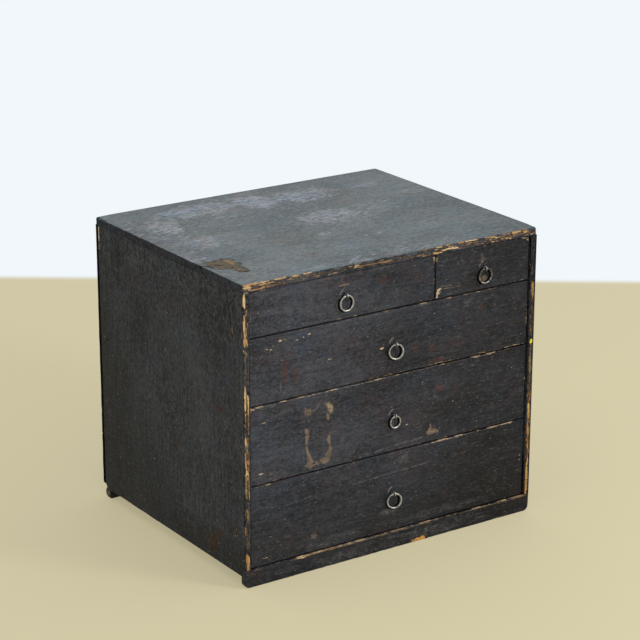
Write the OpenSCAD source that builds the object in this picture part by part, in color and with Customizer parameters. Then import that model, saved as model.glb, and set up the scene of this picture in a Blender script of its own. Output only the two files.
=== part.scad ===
// Small tansu chest: a boarded case with two narrow drawers over three wide ones.
// Millimetres, +Z up, the front faces -Y. The origin is on the floor, under the centre
// of the box that the whole chest fills, ring pulls included.

/* [Case] */
// Width across the outer faces of the side panels
case_w = 455; // [420:1:520]
// Depth from the front edges of the side panels to the outer face of the back board
case_d = 364; // [300:1:420]
// Height from the floor to the upper face of the top board
case_h = 400; // [375:1:450]
// Thickness of the top board
top_t = 10; // [8:0.5:14]
// Thickness of each side panel
side_t = 9.5; // [8:0.5:14]
// Thickness of the back board
back_t = 7; // [5:0.5:9]
// Height of the back board's lower edge above the floor
back_foot = 27; // [25:1:60]
// Thickness of the bottom board, which the lowest drawer runs on
floor_t = 9.4; // [7:0.2:12]
// Thickness of the shelves that the other drawers run on
shelf_t = 6; // [4:0.5:9]
// Thickness of the upright divider between the two top drawers
divider_t = 6; // [5:0.5:9]
// Depth of the housings in the side panels, which hold the shelves and the bottom board
housing = 3; // [2:0.5:4]
// Depth of the housings that hold the divider
divider_housing = 2; // [1:0.5:3]
// Distance of the shelves' front edges behind the drawer fronts
shelf_setback = 1; // [0.5:0.5:6]
// Radius of the worn arrises of the case boards
case_ease = 1.4; // [0.5:0.1:2]
// Radius of the top board's corners, seen from above
corner_r = 3; // [2:0.5:6]
// Radius of the top board's most worn corner, at the front right
worn_corner_r = 7; // [3:0.5:12]
// Radius of the inner arrises, and of those that the base rails cover
inner_ease = 0.6; // [0.3:0.1:1]
// Radius of the side panels' lower rear corner, seen from the side
foot_r = 12; // [2:0.5:14]

/* [Base rails] */
// Height of the front rail
rail_h = 24.4; // [20:0.2:34]
// Thickness of the front rail, front to back
rail_t = 9; // [7:0.5:12]
// Radius of the front rail's lower corners
rail_corner_r = 8; // [2:0.5:12]
// Depth of the rear rail, front to back
rear_rail_d = 18; // [16:0.5:30]
// Distance of the rear rail's ends from the outer faces of the side panels
rear_rail_inset = 3.5; // [1:0.5:8]
// Radius of the rear rail's rounded ends and long arrises
rear_rail_r = 5.5; // [2:0.5:7]

/* [Drawer fronts] */
// Height of the two top fronts
top_row_h = 59.6; // [50:0.2:75]
// Height of the second front
second_row_h = 87.2; // [70:0.2:100]
// Height of the third front
third_row_h = 103.4; // [80:0.2:112]
// Width of the left one of the two top fronts
top_left_w = 280.5; // [200:0.5:300]
// Thickness of the fronts
front_t = 12; // [10:0.5:16]
// Distance of the fronts behind the front edges of the case
front_recess = 2.5; // [1:0.1:5]
// Gap between one front and the next
front_gap = 1.6; // [1:0.1:3]
// Gap between a front and the case above or below it
edge_gap = 0.8; // [0.5:0.1:2]
// Gap between a drawer and the side panel or divider beside it
side_gap = 1; // [0.5:0.1:2]
// Radius of the worn arrises of the fronts
front_ease = 1; // [0.5:0.1:2]

/* [Drawer boxes] */
// Thickness of the drawer sides
wall_t = 7; // [6:0.5:9]
// Thickness of the drawer backs
tail_t = 7; // [6:0.5:9]
// Thickness of the drawer bottoms
bottom_t = 4.5; // [4:0.5:6]
// Height at which a drawer floats over the board that it runs on
run_gap = 0.3; // [0.2:0.1:0.6]
// Gap between a closed drawer and the back board
rear_gap = 0.6; // [0.3:0.1:4]
// Depth of the rebate that takes the sides behind a front's ends
lap = 6; // [4:0.5:7]
// Depth of the groove that takes the bottom's front edge
groove = 4; // [3:0.5:5]
// About the height of one finger of the comb joint at the rear corners
finger_h = 18; // [12:1:24]
// Radius of the arrises of the drawer boxes
box_ease = 0.8; // [0.4:0.1:1.5]

/* [Pegs] */
// Diameter of the wooden pegs in the drawers
peg_d = 2.4; // [2:0.1:3]
// Length of the wooden pegs in the drawers
peg_l = 16; // [14:1:20]
// Diameter of the wooden pegs in the case
case_peg_d = 3; // [2.4:0.1:3.6]
// Length of the wooden pegs in the case
case_peg_l = 22; // [18:1:23]
// Number of pegs along each side of the top board
top_pegs = 5; // [3:1:7]
// Number of pegs along each side of the back board
back_pegs = 4; // [3:1:6]
// Number of pegs along each base rail
rail_pegs = 4; // [3:1:6]
// Number of pegs in each end of a top front
small_front_pegs = 2; // [2:1:3]
// Number of pegs in each end of the other fronts
front_pegs = 3; // [2:1:5]
// Number of pegs along each side of a drawer bottom
bottom_pegs = 3; // [2:1:6]
// Number of pegs between a drawer bottom and its back
tail_pegs = 2; // [2:1:4]
// Thickness of wood left in front of the front rail's hidden pegs
rail_cover = 3; // [2:0.5:5]
// Distance of the end pegs in a long row from the corners
peg_margin = 30; // [20:1:40]
// Distance of the end pegs in a drawer front from its upper and lower edges
peg_edge = 12; // [8:1:16]
// Length of a peg's tapered tip
peg_tip = 1.2; // [0.8:0.1:1.6]
// Depth that a blind bore goes on past its peg
bore_rest = 0.5; // [0.3:0.1:1]
// Radial clearance of a peg in its bore
peg_gap = 0.03; // [0.02:0.01:0.06]
// Clearance of a board in its housing, rebate or groove
fit_gap = 0.1; // [0.05:0.05:0.2]

/* [Ring pulls] */
// Outer diameter of the rings
ring_d = 22; // [18:0.5:26]
// Outer diameter of the third drawer's ring, which is a smaller one
small_ring_d = 18; // [16:0.5:26]
// Diameter of the wire of the rings
ring_wire = 2.5; // [2:0.1:3]
// Diameter of the wire of the split pins' eyes
eye_wire = 1.6; // [1.2:0.1:2]
// Distance from a front's face to the centre of the eye
eye_out = 5.8; // [5.4:0.1:8]
// Clearance under the ring's wire, where it hangs in the eye
hang_gap = 0.3; // [0.2:0.05:0.5]
// Clearance over the ring's wire in the eye
eye_slack = 0.7; // [0.4:0.1:1.2]
// Diameter of the split pin's two legs together, where they pass the front
shank_d = 2.8; // [2.4:0.1:3.6]
// Diameter of each leg bent over behind the front
leg_d = 1.8; // [1.2:0.1:2]
// Reach of each bent leg to its side
leg_reach = 11; // [8:0.5:16]
// Radius at which the legs bend
leg_bend = 2; // [1.6:0.1:2.4]
// Length of the taper at the end of each leg
leg_tip = 2.5; // [1:0.5:4]
// Clearance between the legs and the wood behind them
leg_clear = 0.05; // [0.05:0.05:0.2]

/* [Hidden] */
$fn = 64;
// Reach of a cut past the face that it opens
over = 1;

DRAWERS = ["top_left_drawer", "top_right_drawer", "second_drawer", "third_drawer", "bottom_drawer"];
PIECES = ["front", "left_side", "right_side", "back", "bottom", "pegs", "pin", "ring"];
CASE = [
    "top_board", "left_panel", "right_panel", "back_board", "bottom_board", "front_rail", "rear_rail",
    "upper_shelf", "middle_shelf", "lower_shelf", "divider", "case_pegs"
];

// Colours
PAINT = "#26252b";
PAINT_TOP = "#4a4a50";
PAINT_SIDE = "#2c2725";
BARE = "#b08a5c";
PEG = "#8a6538";
IRON = "#8f8a82";

// One row for each drawer, in the order of DRAWERS. The rows count from the top, and a
// pull's rise is its height over the middle of its front. A turned ring shows its face
// a little more to the left.
ROW = [0, 0, 1, 2, 3];
PULL_RISE = [2, 0, -1.5, -2, -1.5];
PULL_TURN = [0, 0, -13, 0, -13];
PULL_D = [ring_d, ring_d, ring_d, small_ring_d, ring_d];

// The depth of the chest: the eyes of the pins and the turned rings stand out in front
eye_r = ring_wire / 2 + (hang_gap + eye_slack) / 2 + eye_wire / 2;
function ring_r(i) = (PULL_D[i] - ring_wire) / 2;
function ring_reach(i) = ring_r(i) * abs(sin(PULL_TURN[i])) + ring_wire / 2;
reaches = concat([eye_r + eye_wire / 2], [for (i = [0:len(DRAWERS) - 1]) ring_reach(i)]);
pull_reach = eye_out + max(reaches) - front_recess;
y_front = (pull_reach - case_d) / 2;
y_back = y_front + case_d;
y_face = y_front + front_recess;
y_inner = y_back - back_t;
y_shelf = y_face + front_t + shelf_setback;

// The width: the opening between the side panels, the middle of what the housings leave of
// a side panel, and the gap between the top fronts
x_side = case_w / 2 - side_t;
x_peg = case_w / 2 - (side_t - housing) / 2;
x_split = -x_side + side_gap + top_left_w + front_gap / 2;

// The heights: the fronts follow each other down from the top board
z_top = case_h - top_t;
foot_h = rail_h - floor_t;
hi_0 = z_top - edge_gap;
hi_1 = hi_0 - top_row_h - front_gap;
hi_2 = hi_1 - second_row_h - front_gap;
hi_3 = hi_2 - third_row_h - front_gap;
FRONT_HI = [hi_0, hi_1, hi_2, hi_3];
FRONT_LO = [hi_0 - top_row_h, hi_1 - second_row_h, hi_2 - third_row_h, rail_h + edge_gap];
// The upper face of the board that each row of drawers runs on
RUN = [FRONT_LO[0] + shelf_t, FRONT_LO[1] + shelf_t, FRONT_LO[2] + shelf_t, rail_h];

// The drawers: the span of the front, the span of the box behind it, and their heights
function front_x(i) =
    i == 0 ? [-x_side + side_gap, x_split - front_gap / 2]
    : i == 1 ? [x_split + front_gap / 2, x_side - side_gap]
    : [-x_side + side_gap, x_side - side_gap];
function box_x(i) =
    i == 0 ? [-x_side + side_gap, x_split - divider_t / 2 - side_gap]
    : i == 1 ? [x_split + divider_t / 2 + side_gap, x_side - side_gap]
    : [-x_side + side_gap, x_side - side_gap];
function front_lo(i) = FRONT_LO[ROW[i]];
function front_hi(i) = FRONT_HI[ROW[i]];
function box_lo(i) = RUN[ROW[i]] + run_gap;
function mid(span) = (span[0] + span[1]) / 2;
function pull_x(i) = mid(front_x(i));
function pull_z(i) = (front_lo(i) + front_hi(i)) / 2 + PULL_RISE[i];

// Drawer boxes: where the sides start behind the front, and where they end
y_side = y_face + front_t - lap;
y_tail = y_inner - rear_gap;

// The comb joint at the rear corners: the sides hold the even fingers
function fingers(i) = 2 * floor((front_hi(i) - box_lo(i) - bottom_t) / finger_h / 2) + 1;
function finger_step(i) = (front_hi(i) - box_lo(i) - bottom_t) / fingers(i);
function finger_z(i, k) = box_lo(i) + bottom_t + k * finger_step(i);

// A count of places spread evenly between two ends, both ends included
function spread(low, high, count) = [for (k = [0:count - 1]) low + (high - low) * k / (count - 1)];

// The corner of a square that a quarter circle leaves over
module corner_waste(r) {
    if (r > 0) difference() {
        translate([-over, -over]) square(r + over);
        translate([r, r]) circle(r);
    }
}

// A rectangle with its low corner at the origin. The radii round its corners, counted from
// that one: low left, low right, high right, high left.
module rounded(w, h, radii) {
    difference() {
        square([w, h]);
        corner_waste(radii[0]);
        translate([w, 0]) mirror([1, 0]) corner_waste(radii[1]);
        translate([w, h]) rotate(180) corner_waste(radii[2]);
        translate([0, h]) mirror([0, 1]) corner_waste(radii[3]);
    }
}

module block(low, high) {
    translate(low) cube(high - low);
}

// A board between two corners. Each list of radii eases its edges as they are seen from
// above, from the front and from the right.
module board(low, high, above = [0], front = [0], right = [0]) {
    size = high - low;
    translate(low) intersection() {
        cube(size);
        if (max(above) > 0) linear_extrude(size.z) rounded(size.x, size.y, above);
        if (max(front) > 0) translate([0, size.y, 0]) rotate([90, 0, 0])
            linear_extrude(size.y) rounded(size.x, size.z, front);
        if (max(right) > 0) rotate([90, 0, 90])
            linear_extrude(size.x) rounded(size.y, size.z, right);
    }
}

// A wooden peg along +Z with its head at the origin. With a gap, it is the bore for it.
module peg(d, l, gap) {
    if (gap == 0) {
        cylinder(d = d, h = l - peg_tip);
        translate([0, 0, l - peg_tip]) cylinder(d1 = d, d2 = d - peg_tip, h = peg_tip);
    } else {
        translate([0, 0, -over]) cylinder(d = d + 2 * gap, h = over + l + bore_rest);
    }
}

// All the pegs of the case, or their bores
module case_peg_set(gap = 0) {
    for (side = [-1, 1]) {
        for (y = spread(y_front + peg_margin, y_inner - peg_margin, top_pegs))
            translate([side * x_peg, y, case_h]) rotate([180, 0, 0]) peg(case_peg_d, case_peg_l, gap);
        for (z = spread(back_foot + peg_margin, z_top - peg_margin, back_pegs))
            translate([side * x_peg, y_back, z]) rotate([90, 0, 0]) peg(case_peg_d, case_peg_l, gap);
    }
    for (x = concat([-x_peg, x_peg], spread(-x_side + 2 * peg_margin, x_side - 2 * peg_margin, rail_pegs)))
        translate([x, y_front + rail_cover, (foot_h + rail_h) / 2]) rotate([-90, 0, 0])
            peg(case_peg_d, case_peg_l, gap);
    for (x = spread(-x_side + peg_margin, x_side - peg_margin, rail_pegs))
        translate([x, y_inner - (rear_rail_d - back_t) / 2, 0]) peg(case_peg_d, case_peg_l, gap);
}

module top_board() {
    color(PAINT_TOP) difference() {
        board(
            [-case_w / 2, y_front, z_top], [case_w / 2, y_back, case_h],
            above = [corner_r, worn_corner_r, corner_r, corner_r],
            front = [case_ease, case_ease, case_ease, case_ease],
            right = [case_ease, case_ease, case_ease, case_ease]
        );
        block(
            [x_split - divider_t / 2 - fit_gap, y_shelf - fit_gap, z_top - over],
            [x_split + divider_t / 2 + fit_gap, y_inner, z_top + divider_housing]
        );
        case_peg_set(peg_gap);
    }
}

// The left panel. The front rail covers its notched foot, and the bottom board lies in a
// rebate along its lower edge.
module side_panel() {
    difference() {
        board(
            [-case_w / 2, y_front, foot_h], [-x_side, y_inner, z_top],
            above = [case_ease, inner_ease, 0, 0], right = [0, foot_r, 0, 0]
        );
        block(
            [-case_w / 2 - over, y_front - over, foot_h - over],
            [-x_side + over, y_front + rail_t, rail_h]
        );
        block([-x_side - housing, y_front, foot_h - over], [-x_side + over, y_back, rail_h + fit_gap]);
        for (run = [RUN[0], RUN[1], RUN[2]]) block(
            [-x_side - housing, y_shelf - fit_gap, run - shelf_t - fit_gap],
            [-x_side + over, y_back, run + fit_gap]
        );
        case_peg_set(peg_gap);
    }
}

module left_panel() {
    color(PAINT_SIDE) side_panel();
}

module right_panel() {
    color(PAINT_SIDE) mirror([1, 0, 0]) side_panel();
}

module back_board() {
    color(PAINT_SIDE) difference() {
        board(
            [-case_w / 2, y_inner, back_foot], [case_w / 2, y_back, z_top],
            above = [0, 0, case_ease, case_ease], right = [0, inner_ease, 0, 0]
        );
        case_peg_set(peg_gap);
    }
}

module bottom_board() {
    color(BARE) difference() {
        block(
            [-x_side - housing + fit_gap, y_front + rail_t, foot_h],
            [x_side + housing - fit_gap, y_inner, rail_h]
        );
        case_peg_set(peg_gap);
    }
}

module front_rail() {
    color(PAINT) difference() {
        board(
            [-case_w / 2, y_front, 0], [case_w / 2, y_front + rail_t, rail_h],
            above = [case_ease, case_ease, 0, 0],
            front = [rail_corner_r, rail_corner_r, inner_ease, inner_ease],
            right = [case_ease, 0, 0, case_ease]
        );
        case_peg_set(peg_gap);
    }
}

// The batten under the back of the case, which lies flush with the back board
module rear_rail() {
    color(PAINT_SIDE) difference() {
        board(
            [-case_w / 2 + rear_rail_inset, y_back - rear_rail_d, 0],
            [case_w / 2 - rear_rail_inset, y_back, foot_h],
            above = [inner_ease, inner_ease, inner_ease, inner_ease],
            front = [rear_rail_r, rear_rail_r, inner_ease, inner_ease],
            right = [rear_rail_r, rear_rail_r, rear_rail_r, 0]
        );
        case_peg_set(peg_gap);
    }
}

// The shelf under one row of drawers. Its ends lie in the housings of the side panels.
module shelf(row) {
    board(
        [-x_side - housing + fit_gap, y_shelf, RUN[row] - shelf_t],
        [x_side + housing - fit_gap, y_inner - fit_gap, RUN[row]],
        right = [0, 0, 0, inner_ease]
    );
}

module upper_shelf() {
    color(BARE) difference() {
        shelf(0);
        block(
            [x_split - divider_t / 2 - fit_gap, y_shelf - over, RUN[0] - divider_housing],
            [x_split + divider_t / 2 + fit_gap, y_inner + over, RUN[0] + over]
        );
    }
}

module middle_shelf() {
    color(BARE) shelf(1);
}

module lower_shelf() {
    color(BARE) shelf(2);
}

module divider() {
    color(BARE) board(
        [x_split - divider_t / 2, y_shelf, RUN[0] - divider_housing + fit_gap],
        [x_split + divider_t / 2, y_inner - fit_gap, z_top + divider_housing - fit_gap],
        above = [inner_ease, inner_ease, 0, 0]
    );
}

module case_pegs() {
    color(PEG) case_peg_set();
}

// The pegs of one drawer, or their bores. Those at the front go in through the ends of the
// front, those at the rear through the sides' fingers, and the rest through the bottom.
module drawer_peg_set(i, gap = 0) {
    ends = front_x(i);
    box = box_x(i);
    count = ROW[i] == 0 ? small_front_pegs : front_pegs;
    for (z = spread(box_lo(i) + bottom_t + peg_edge, front_hi(i) - peg_edge, count)) {
        translate([ends[0], y_side + lap / 2, z]) rotate([0, 90, 0]) peg(peg_d, peg_l, gap);
        translate([ends[1], y_side + lap / 2, z]) rotate([0, -90, 0]) peg(peg_d, peg_l, gap);
    }
    for (k = [0:2:fingers(i) - 1]) {
        z = finger_z(i, k) + finger_step(i) / 2;
        translate([box[0], y_tail - tail_t / 2, z]) rotate([0, 90, 0]) peg(peg_d, peg_l, gap);
        translate([box[1], y_tail - tail_t / 2, z]) rotate([0, -90, 0]) peg(peg_d, peg_l, gap);
    }
    for (y = spread(y_side + peg_margin, y_tail - peg_margin, bottom_pegs))
        for (x = [box[0] + wall_t / 2, box[1] - wall_t / 2])
            translate([x, y, box_lo(i)]) peg(peg_d, peg_l, gap);
    for (x = spread(box[0] + 2 * peg_margin, box[1] - 2 * peg_margin, tail_pegs))
        translate([x, y_tail - tail_t / 2, box_lo(i)]) peg(peg_d, peg_l, gap);
}

// A front, with a housing for the end of each side, a groove for the bottom and the pin's bore
module drawer_front(i) {
    ends = front_x(i);
    box = box_x(i);
    color(PAINT) difference() {
        board(
            [ends[0], y_face, front_lo(i)], [ends[1], y_face + front_t, front_hi(i)],
            above = [front_ease, front_ease, 0, 0],
            front = [front_ease, front_ease, front_ease, front_ease],
            right = [front_ease, 0, 0, front_ease]
        );
        for (x = [box[0], box[1] - wall_t]) block(
            [x - fit_gap, y_side - fit_gap, box_lo(i) + bottom_t - fit_gap],
            [x + wall_t + fit_gap, y_side + lap + over, front_hi(i) + over]
        );
        block(
            [box[0] - fit_gap, y_face + front_t - groove - fit_gap, box_lo(i) - fit_gap],
            [box[1] + fit_gap, y_face + front_t + over, box_lo(i) + bottom_t + fit_gap]
        );
        translate([pull_x(i), y_face - over, pull_z(i)]) rotate([-90, 0, 0])
            cylinder(d = shank_d + 2 * peg_gap, h = front_t + 2 * over);
        drawer_peg_set(i, peg_gap);
    }
}

// The fingers of one kind at a rear corner: those from the first one given, two steps apart
module finger_waste(i, first, low, high) {
    for (k = [first:2:fingers(i) - 1]) block(
        [low.x, low.y, finger_z(i, k) - (k == 0 ? over : fit_gap)],
        [high.x, high.y, finger_z(i, k + 1) + (k == fingers(i) - 1 ? over : fit_gap)]
    );
}

module drawer_side(i, x) {
    color(BARE) difference() {
        board(
            [x, y_side, box_lo(i) + bottom_t], [x + wall_t, y_tail, front_hi(i)],
            front = [0, 0, box_ease, box_ease]
        );
        finger_waste(i, 1, [x - over, y_tail - tail_t - fit_gap], [x + wall_t + over, y_tail + over]);
        drawer_peg_set(i, peg_gap);
    }
}

module drawer_back(i) {
    box = box_x(i);
    color(BARE) difference() {
        board(
            [box[0], y_tail - tail_t, box_lo(i) + bottom_t], [box[1], y_tail, front_hi(i)],
            right = [0, 0, box_ease, box_ease]
        );
        finger_waste(i, 0, [box[0] - over, y_tail - tail_t - over], [box[0] + wall_t, y_tail + over]);
        finger_waste(i, 0, [box[1] - wall_t, y_tail - tail_t - over], [box[1] + over, y_tail + over]);
        drawer_peg_set(i, peg_gap);
    }
}

module drawer_bottom(i) {
    box = box_x(i);
    color(BARE) difference() {
        board(
            [box[0], y_face + front_t - groove, box_lo(i)], [box[1], y_tail, box_lo(i) + bottom_t],
            right = [0, box_ease, 0, 0]
        );
        drawer_peg_set(i, peg_gap);
    }
}

module drawer_pegs(i) {
    color(PEG) drawer_peg_set(i);
}

// One leg of a split pin, bent over to +X from the end of the shank
module pin_leg() {
    translate([leg_bend, 0, 0]) rotate([0, 0, 90])
        rotate_extrude(angle = 90) translate([leg_bend, 0]) circle(d = leg_d);
    translate([leg_bend, leg_bend, 0]) rotate([0, 90, 0]) {
        cylinder(d = leg_d, h = leg_reach - leg_bend - leg_tip);
        translate([0, 0, leg_reach - leg_bend - leg_tip]) cylinder(d1 = leg_d, d2 = leg_d / 2, h = leg_tip);
    }
}

// A split pin: an eye of round wire, a shank through the front and two legs behind it
module drawer_pin(i) {
    y_bend = front_t + leg_clear + leg_d / 2 - leg_bend;
    color(IRON) translate([pull_x(i), y_face, pull_z(i)]) {
        translate([0, -eye_out, 0]) rotate([0, 90, 0])
            rotate_extrude() translate([eye_r, 0]) circle(d = eye_wire);
        translate([0, -eye_out + eye_r, 0]) rotate([-90, 0, 0]) {
            cylinder(d1 = eye_wire, d2 = shank_d, h = eye_wire);
            translate([0, 0, eye_wire]) cylinder(d = shank_d, h = eye_out - eye_r - eye_wire + y_bend);
        }
        translate([0, y_bend, 0]) for (side = [0, 1]) mirror([side, 0, 0]) pin_leg();
    }
}

// A ring, hanging with its wire in the eye of the pin
module drawer_ring(i) {
    wire_z = pull_z(i) - (eye_slack - hang_gap) / 2;
    color(IRON) translate([pull_x(i), y_face - eye_out, wire_z]) rotate([0, 0, PULL_TURN[i]])
        translate([0, 0, -ring_r(i)]) rotate([90, 0, 0])
            rotate_extrude() translate([ring_r(i), 0]) circle(d = ring_wire);
}

top_board();
left_panel();
right_panel();
back_board();
bottom_board();
front_rail();
rear_rail();
upper_shelf();
middle_shelf();
lower_shelf();
divider();
case_pegs();
for (i = [0:len(DRAWERS) - 1]) {
    drawer_front(i);
    drawer_side(i, box_x(i)[0]);
    drawer_side(i, box_x(i)[1] - wall_t);
    drawer_back(i);
    drawer_bottom(i);
    drawer_pegs(i);
    drawer_pin(i);
    drawer_ring(i);
}
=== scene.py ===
"""Small tansu chest: its worn boards, drawer fronts and ring pulls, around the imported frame."""
import itertools
import math

import bmesh
import bpy
import numpy as np
from bpy.props import FloatProperty, FloatVectorProperty, PointerProperty
from mathutils import Matrix, Vector
from mathutils.geometry import delaunay_2d_cdt


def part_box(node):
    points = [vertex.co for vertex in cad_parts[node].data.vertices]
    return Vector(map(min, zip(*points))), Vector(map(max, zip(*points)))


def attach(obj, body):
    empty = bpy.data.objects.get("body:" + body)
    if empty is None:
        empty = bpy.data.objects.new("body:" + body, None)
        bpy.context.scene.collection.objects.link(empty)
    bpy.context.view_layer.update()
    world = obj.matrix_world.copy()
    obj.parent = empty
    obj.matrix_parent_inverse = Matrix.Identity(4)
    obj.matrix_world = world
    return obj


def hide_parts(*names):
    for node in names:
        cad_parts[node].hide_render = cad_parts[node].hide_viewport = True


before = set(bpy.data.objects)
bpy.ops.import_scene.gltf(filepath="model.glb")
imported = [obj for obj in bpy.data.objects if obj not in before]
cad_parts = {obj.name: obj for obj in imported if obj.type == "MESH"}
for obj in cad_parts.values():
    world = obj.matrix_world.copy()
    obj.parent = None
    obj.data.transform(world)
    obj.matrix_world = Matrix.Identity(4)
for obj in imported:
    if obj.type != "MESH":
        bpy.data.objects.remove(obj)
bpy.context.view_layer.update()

bl_info = {
    "name": "Small tansu chest",
    "version": (1, 0, 0),
    "blender": (4, 5, 0),
    "location": "View3D > Sidebar > Chest",
    "description": "Dresses the frame of a small tansu chest in worn paint, old wood and iron",
    "category": "Object",
}

MM = 0.001
DRAWERS = ("top_left_drawer", "top_right_drawer", "second_drawer", "third_drawer", "bottom_drawer")
# Black with no gloss, for what is hollow and for painted shadows
BLACK = {"Base Color": (0.002, 0.002, 0.002, 1.0), "Roughness": 1.0, "Specular IOR Level": 0.0}


# Sizes and colours


def colour(name, description, default):
    return FloatVectorProperty(
        name=name, description=description, default=default, size=3, min=0, max=1, subtype="COLOR"
    )


def length(name, description, default, low, high):
    return FloatProperty(
        name=name, description=description, default=default, min=low, max=high,
        unit="LENGTH", precision=5,
    )


def share(name, description, default, high=1.0):
    return FloatProperty(
        name=name, description=description, default=default, min=0, max=high, subtype="FACTOR"
    )


class ChestPaint(bpy.types.PropertyGroup):
    front_deep: colour("Front, deep", "Darkest tone of the paint on the front", (0.0066, 0.0078, 0.0125))
    front_light: colour("Front, light", "Lightest tone of the paint on the front", (0.064, 0.067, 0.086))
    side_deep: colour("Sides, deep", "Darkest tone of the paint on the sides", (0.0048, 0.0062, 0.0098))
    side_light: colour("Sides, light", "Lightest tone of the paint on the sides", (0.053, 0.058, 0.070))
    # The top's tones are lighter than those of the front and the sides, partly as a painted sheen of the
    # bright surroundings
    top_deep: colour("Top, deep", "Darkest tone of the paint on the top", (0.030, 0.046, 0.050))
    top_light: colour("Top, light", "Lightest tone of the paint on the top", (0.150, 0.181, 0.183))
    bloom: colour("Bloom", "Pale bloom on the top", (0.306, 0.320, 0.358))
    rubbed: colour("Rubbed", "Undercoat that shows where the paint is thin", (0.066, 0.024, 0.020))
    rust: colour("Rust", "Brown stains on the sides", (0.034, 0.012, 0.006))
    residue: colour("Residue", "Old glue left on the third drawer", (0.190, 0.134, 0.094))
    dust: colour("Dust", "Fine scratches and dust on the paint", (0.17, 0.167, 0.163))
    crust: colour("Crust", "Burnt-looking rim of the paint beside bare wood", (0.020, 0.012, 0.008))
    fleck: colour("Fleck", "A fleck of yellow paint on the right side", (0.60, 0.56, 0.03))
    patch: colour("Patch", "Varnished wood at the foot of the front rail", (0.50, 0.25, 0.06))


class ChestWood(bpy.types.PropertyGroup):
    bare_light: colour("Bare, light", "Light grain of the wood that shows on worn edges", (0.74, 0.56, 0.32))
    bare_dark: colour("Bare, dark", "Dark grain of the wood that shows on worn edges", (0.30, 0.165, 0.065))
    orange: colour("Bare, orange", "Bare wood that has taken up old varnish", (0.36, 0.16, 0.040))
    pale: colour("Bare, pale", "Bare wood that has gone grey on the drawers", (0.36, 0.30, 0.235))
    dirty: colour("Dirty", "Bare wood that has darkened", (0.125, 0.108, 0.080))
    black: colour("Blackened", "Bare wood that is black with dirt", (0.026, 0.020, 0.014))
    aged_light: colour("Aged, light", "Light grain of the unpainted boards inside", (0.40, 0.29, 0.18))
    aged_dark: colour("Aged, dark", "Dark grain of the unpainted boards inside", (0.22, 0.145, 0.082))
    peg: colour("Pegs", "The wooden pegs", (0.30, 0.17, 0.075))


class ChestWear(bpy.types.PropertyGroup):
    arris: share("Arrises", "How much wood shows along the arrises", 0.44)
    chips: share("Chips", "Size of the chips in the arrises, 1 as found", 1.0, 2.0)
    dents: length("Dents", "Depth of the hollows in the faces", 0.0003, 0.0, 0.0006)
    outline_step: length("Outline step", "Spacing of the points along a board's outline", 0.0024, 0.001, 0.01)
    face_step: length("Face step", "Spacing of the points over a board's face", 0.006, 0.003, 0.03)


class ChestPulls(bpy.types.PropertyGroup):
    ring_wire: length("Ring wire", "Diameter of the wire of the rings", 0.0025, 0.002, 0.003)
    eye_wire: length("Eye wire", "Diameter of the wire of the eyes", 0.0016, 0.0012, 0.002)
    bright: colour("Bright", "Iron where fingers have polished it", (0.50, 0.485, 0.475))
    dark: colour("Dark", "Iron in its old brown skin", (0.060, 0.050, 0.042))


class ChestStage(bpy.types.PropertyGroup):
    ground: colour("Ground", "The floor as the camera sees it, in even light", (0.66, 0.595, 0.385))
    floor: colour("Floor", "The pale floor", (0.66, 0.595, 0.39))
    backdrop: colour("Backdrop", "The pale ground behind", (0.88, 0.93, 0.965))
    daylight: FloatProperty(name="Daylight", description="Strength of the even light", default=0.85, min=0)
    lamp: FloatProperty(name="Lamp", description="Power of the soft lamp", default=20.0, min=0, unit="POWER")
    lens: FloatProperty(
        name="Lens", description="Focal length of the camera", default=129.3, min=10, unit="CAMERA"
    )


# Finishes


class Field:
    """A number that varies over a surface. Sums on it add Math nodes to its finish."""

    def __init__(self, finish, socket):
        self.finish, self.socket = finish, socket

    def __add__(self, other):
        return self.finish.math("ADD", self, other)

    def __radd__(self, other):
        return self.finish.math("ADD", other, self)

    def __sub__(self, other):
        return self.finish.math("SUBTRACT", self, other)

    def __rsub__(self, other):
        return self.finish.math("SUBTRACT", other, self)

    def __mul__(self, other):
        return self.finish.math("MULTIPLY", self, other)

    def __rmul__(self, other):
        return self.finish.math("MULTIPLY", other, self)


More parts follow.
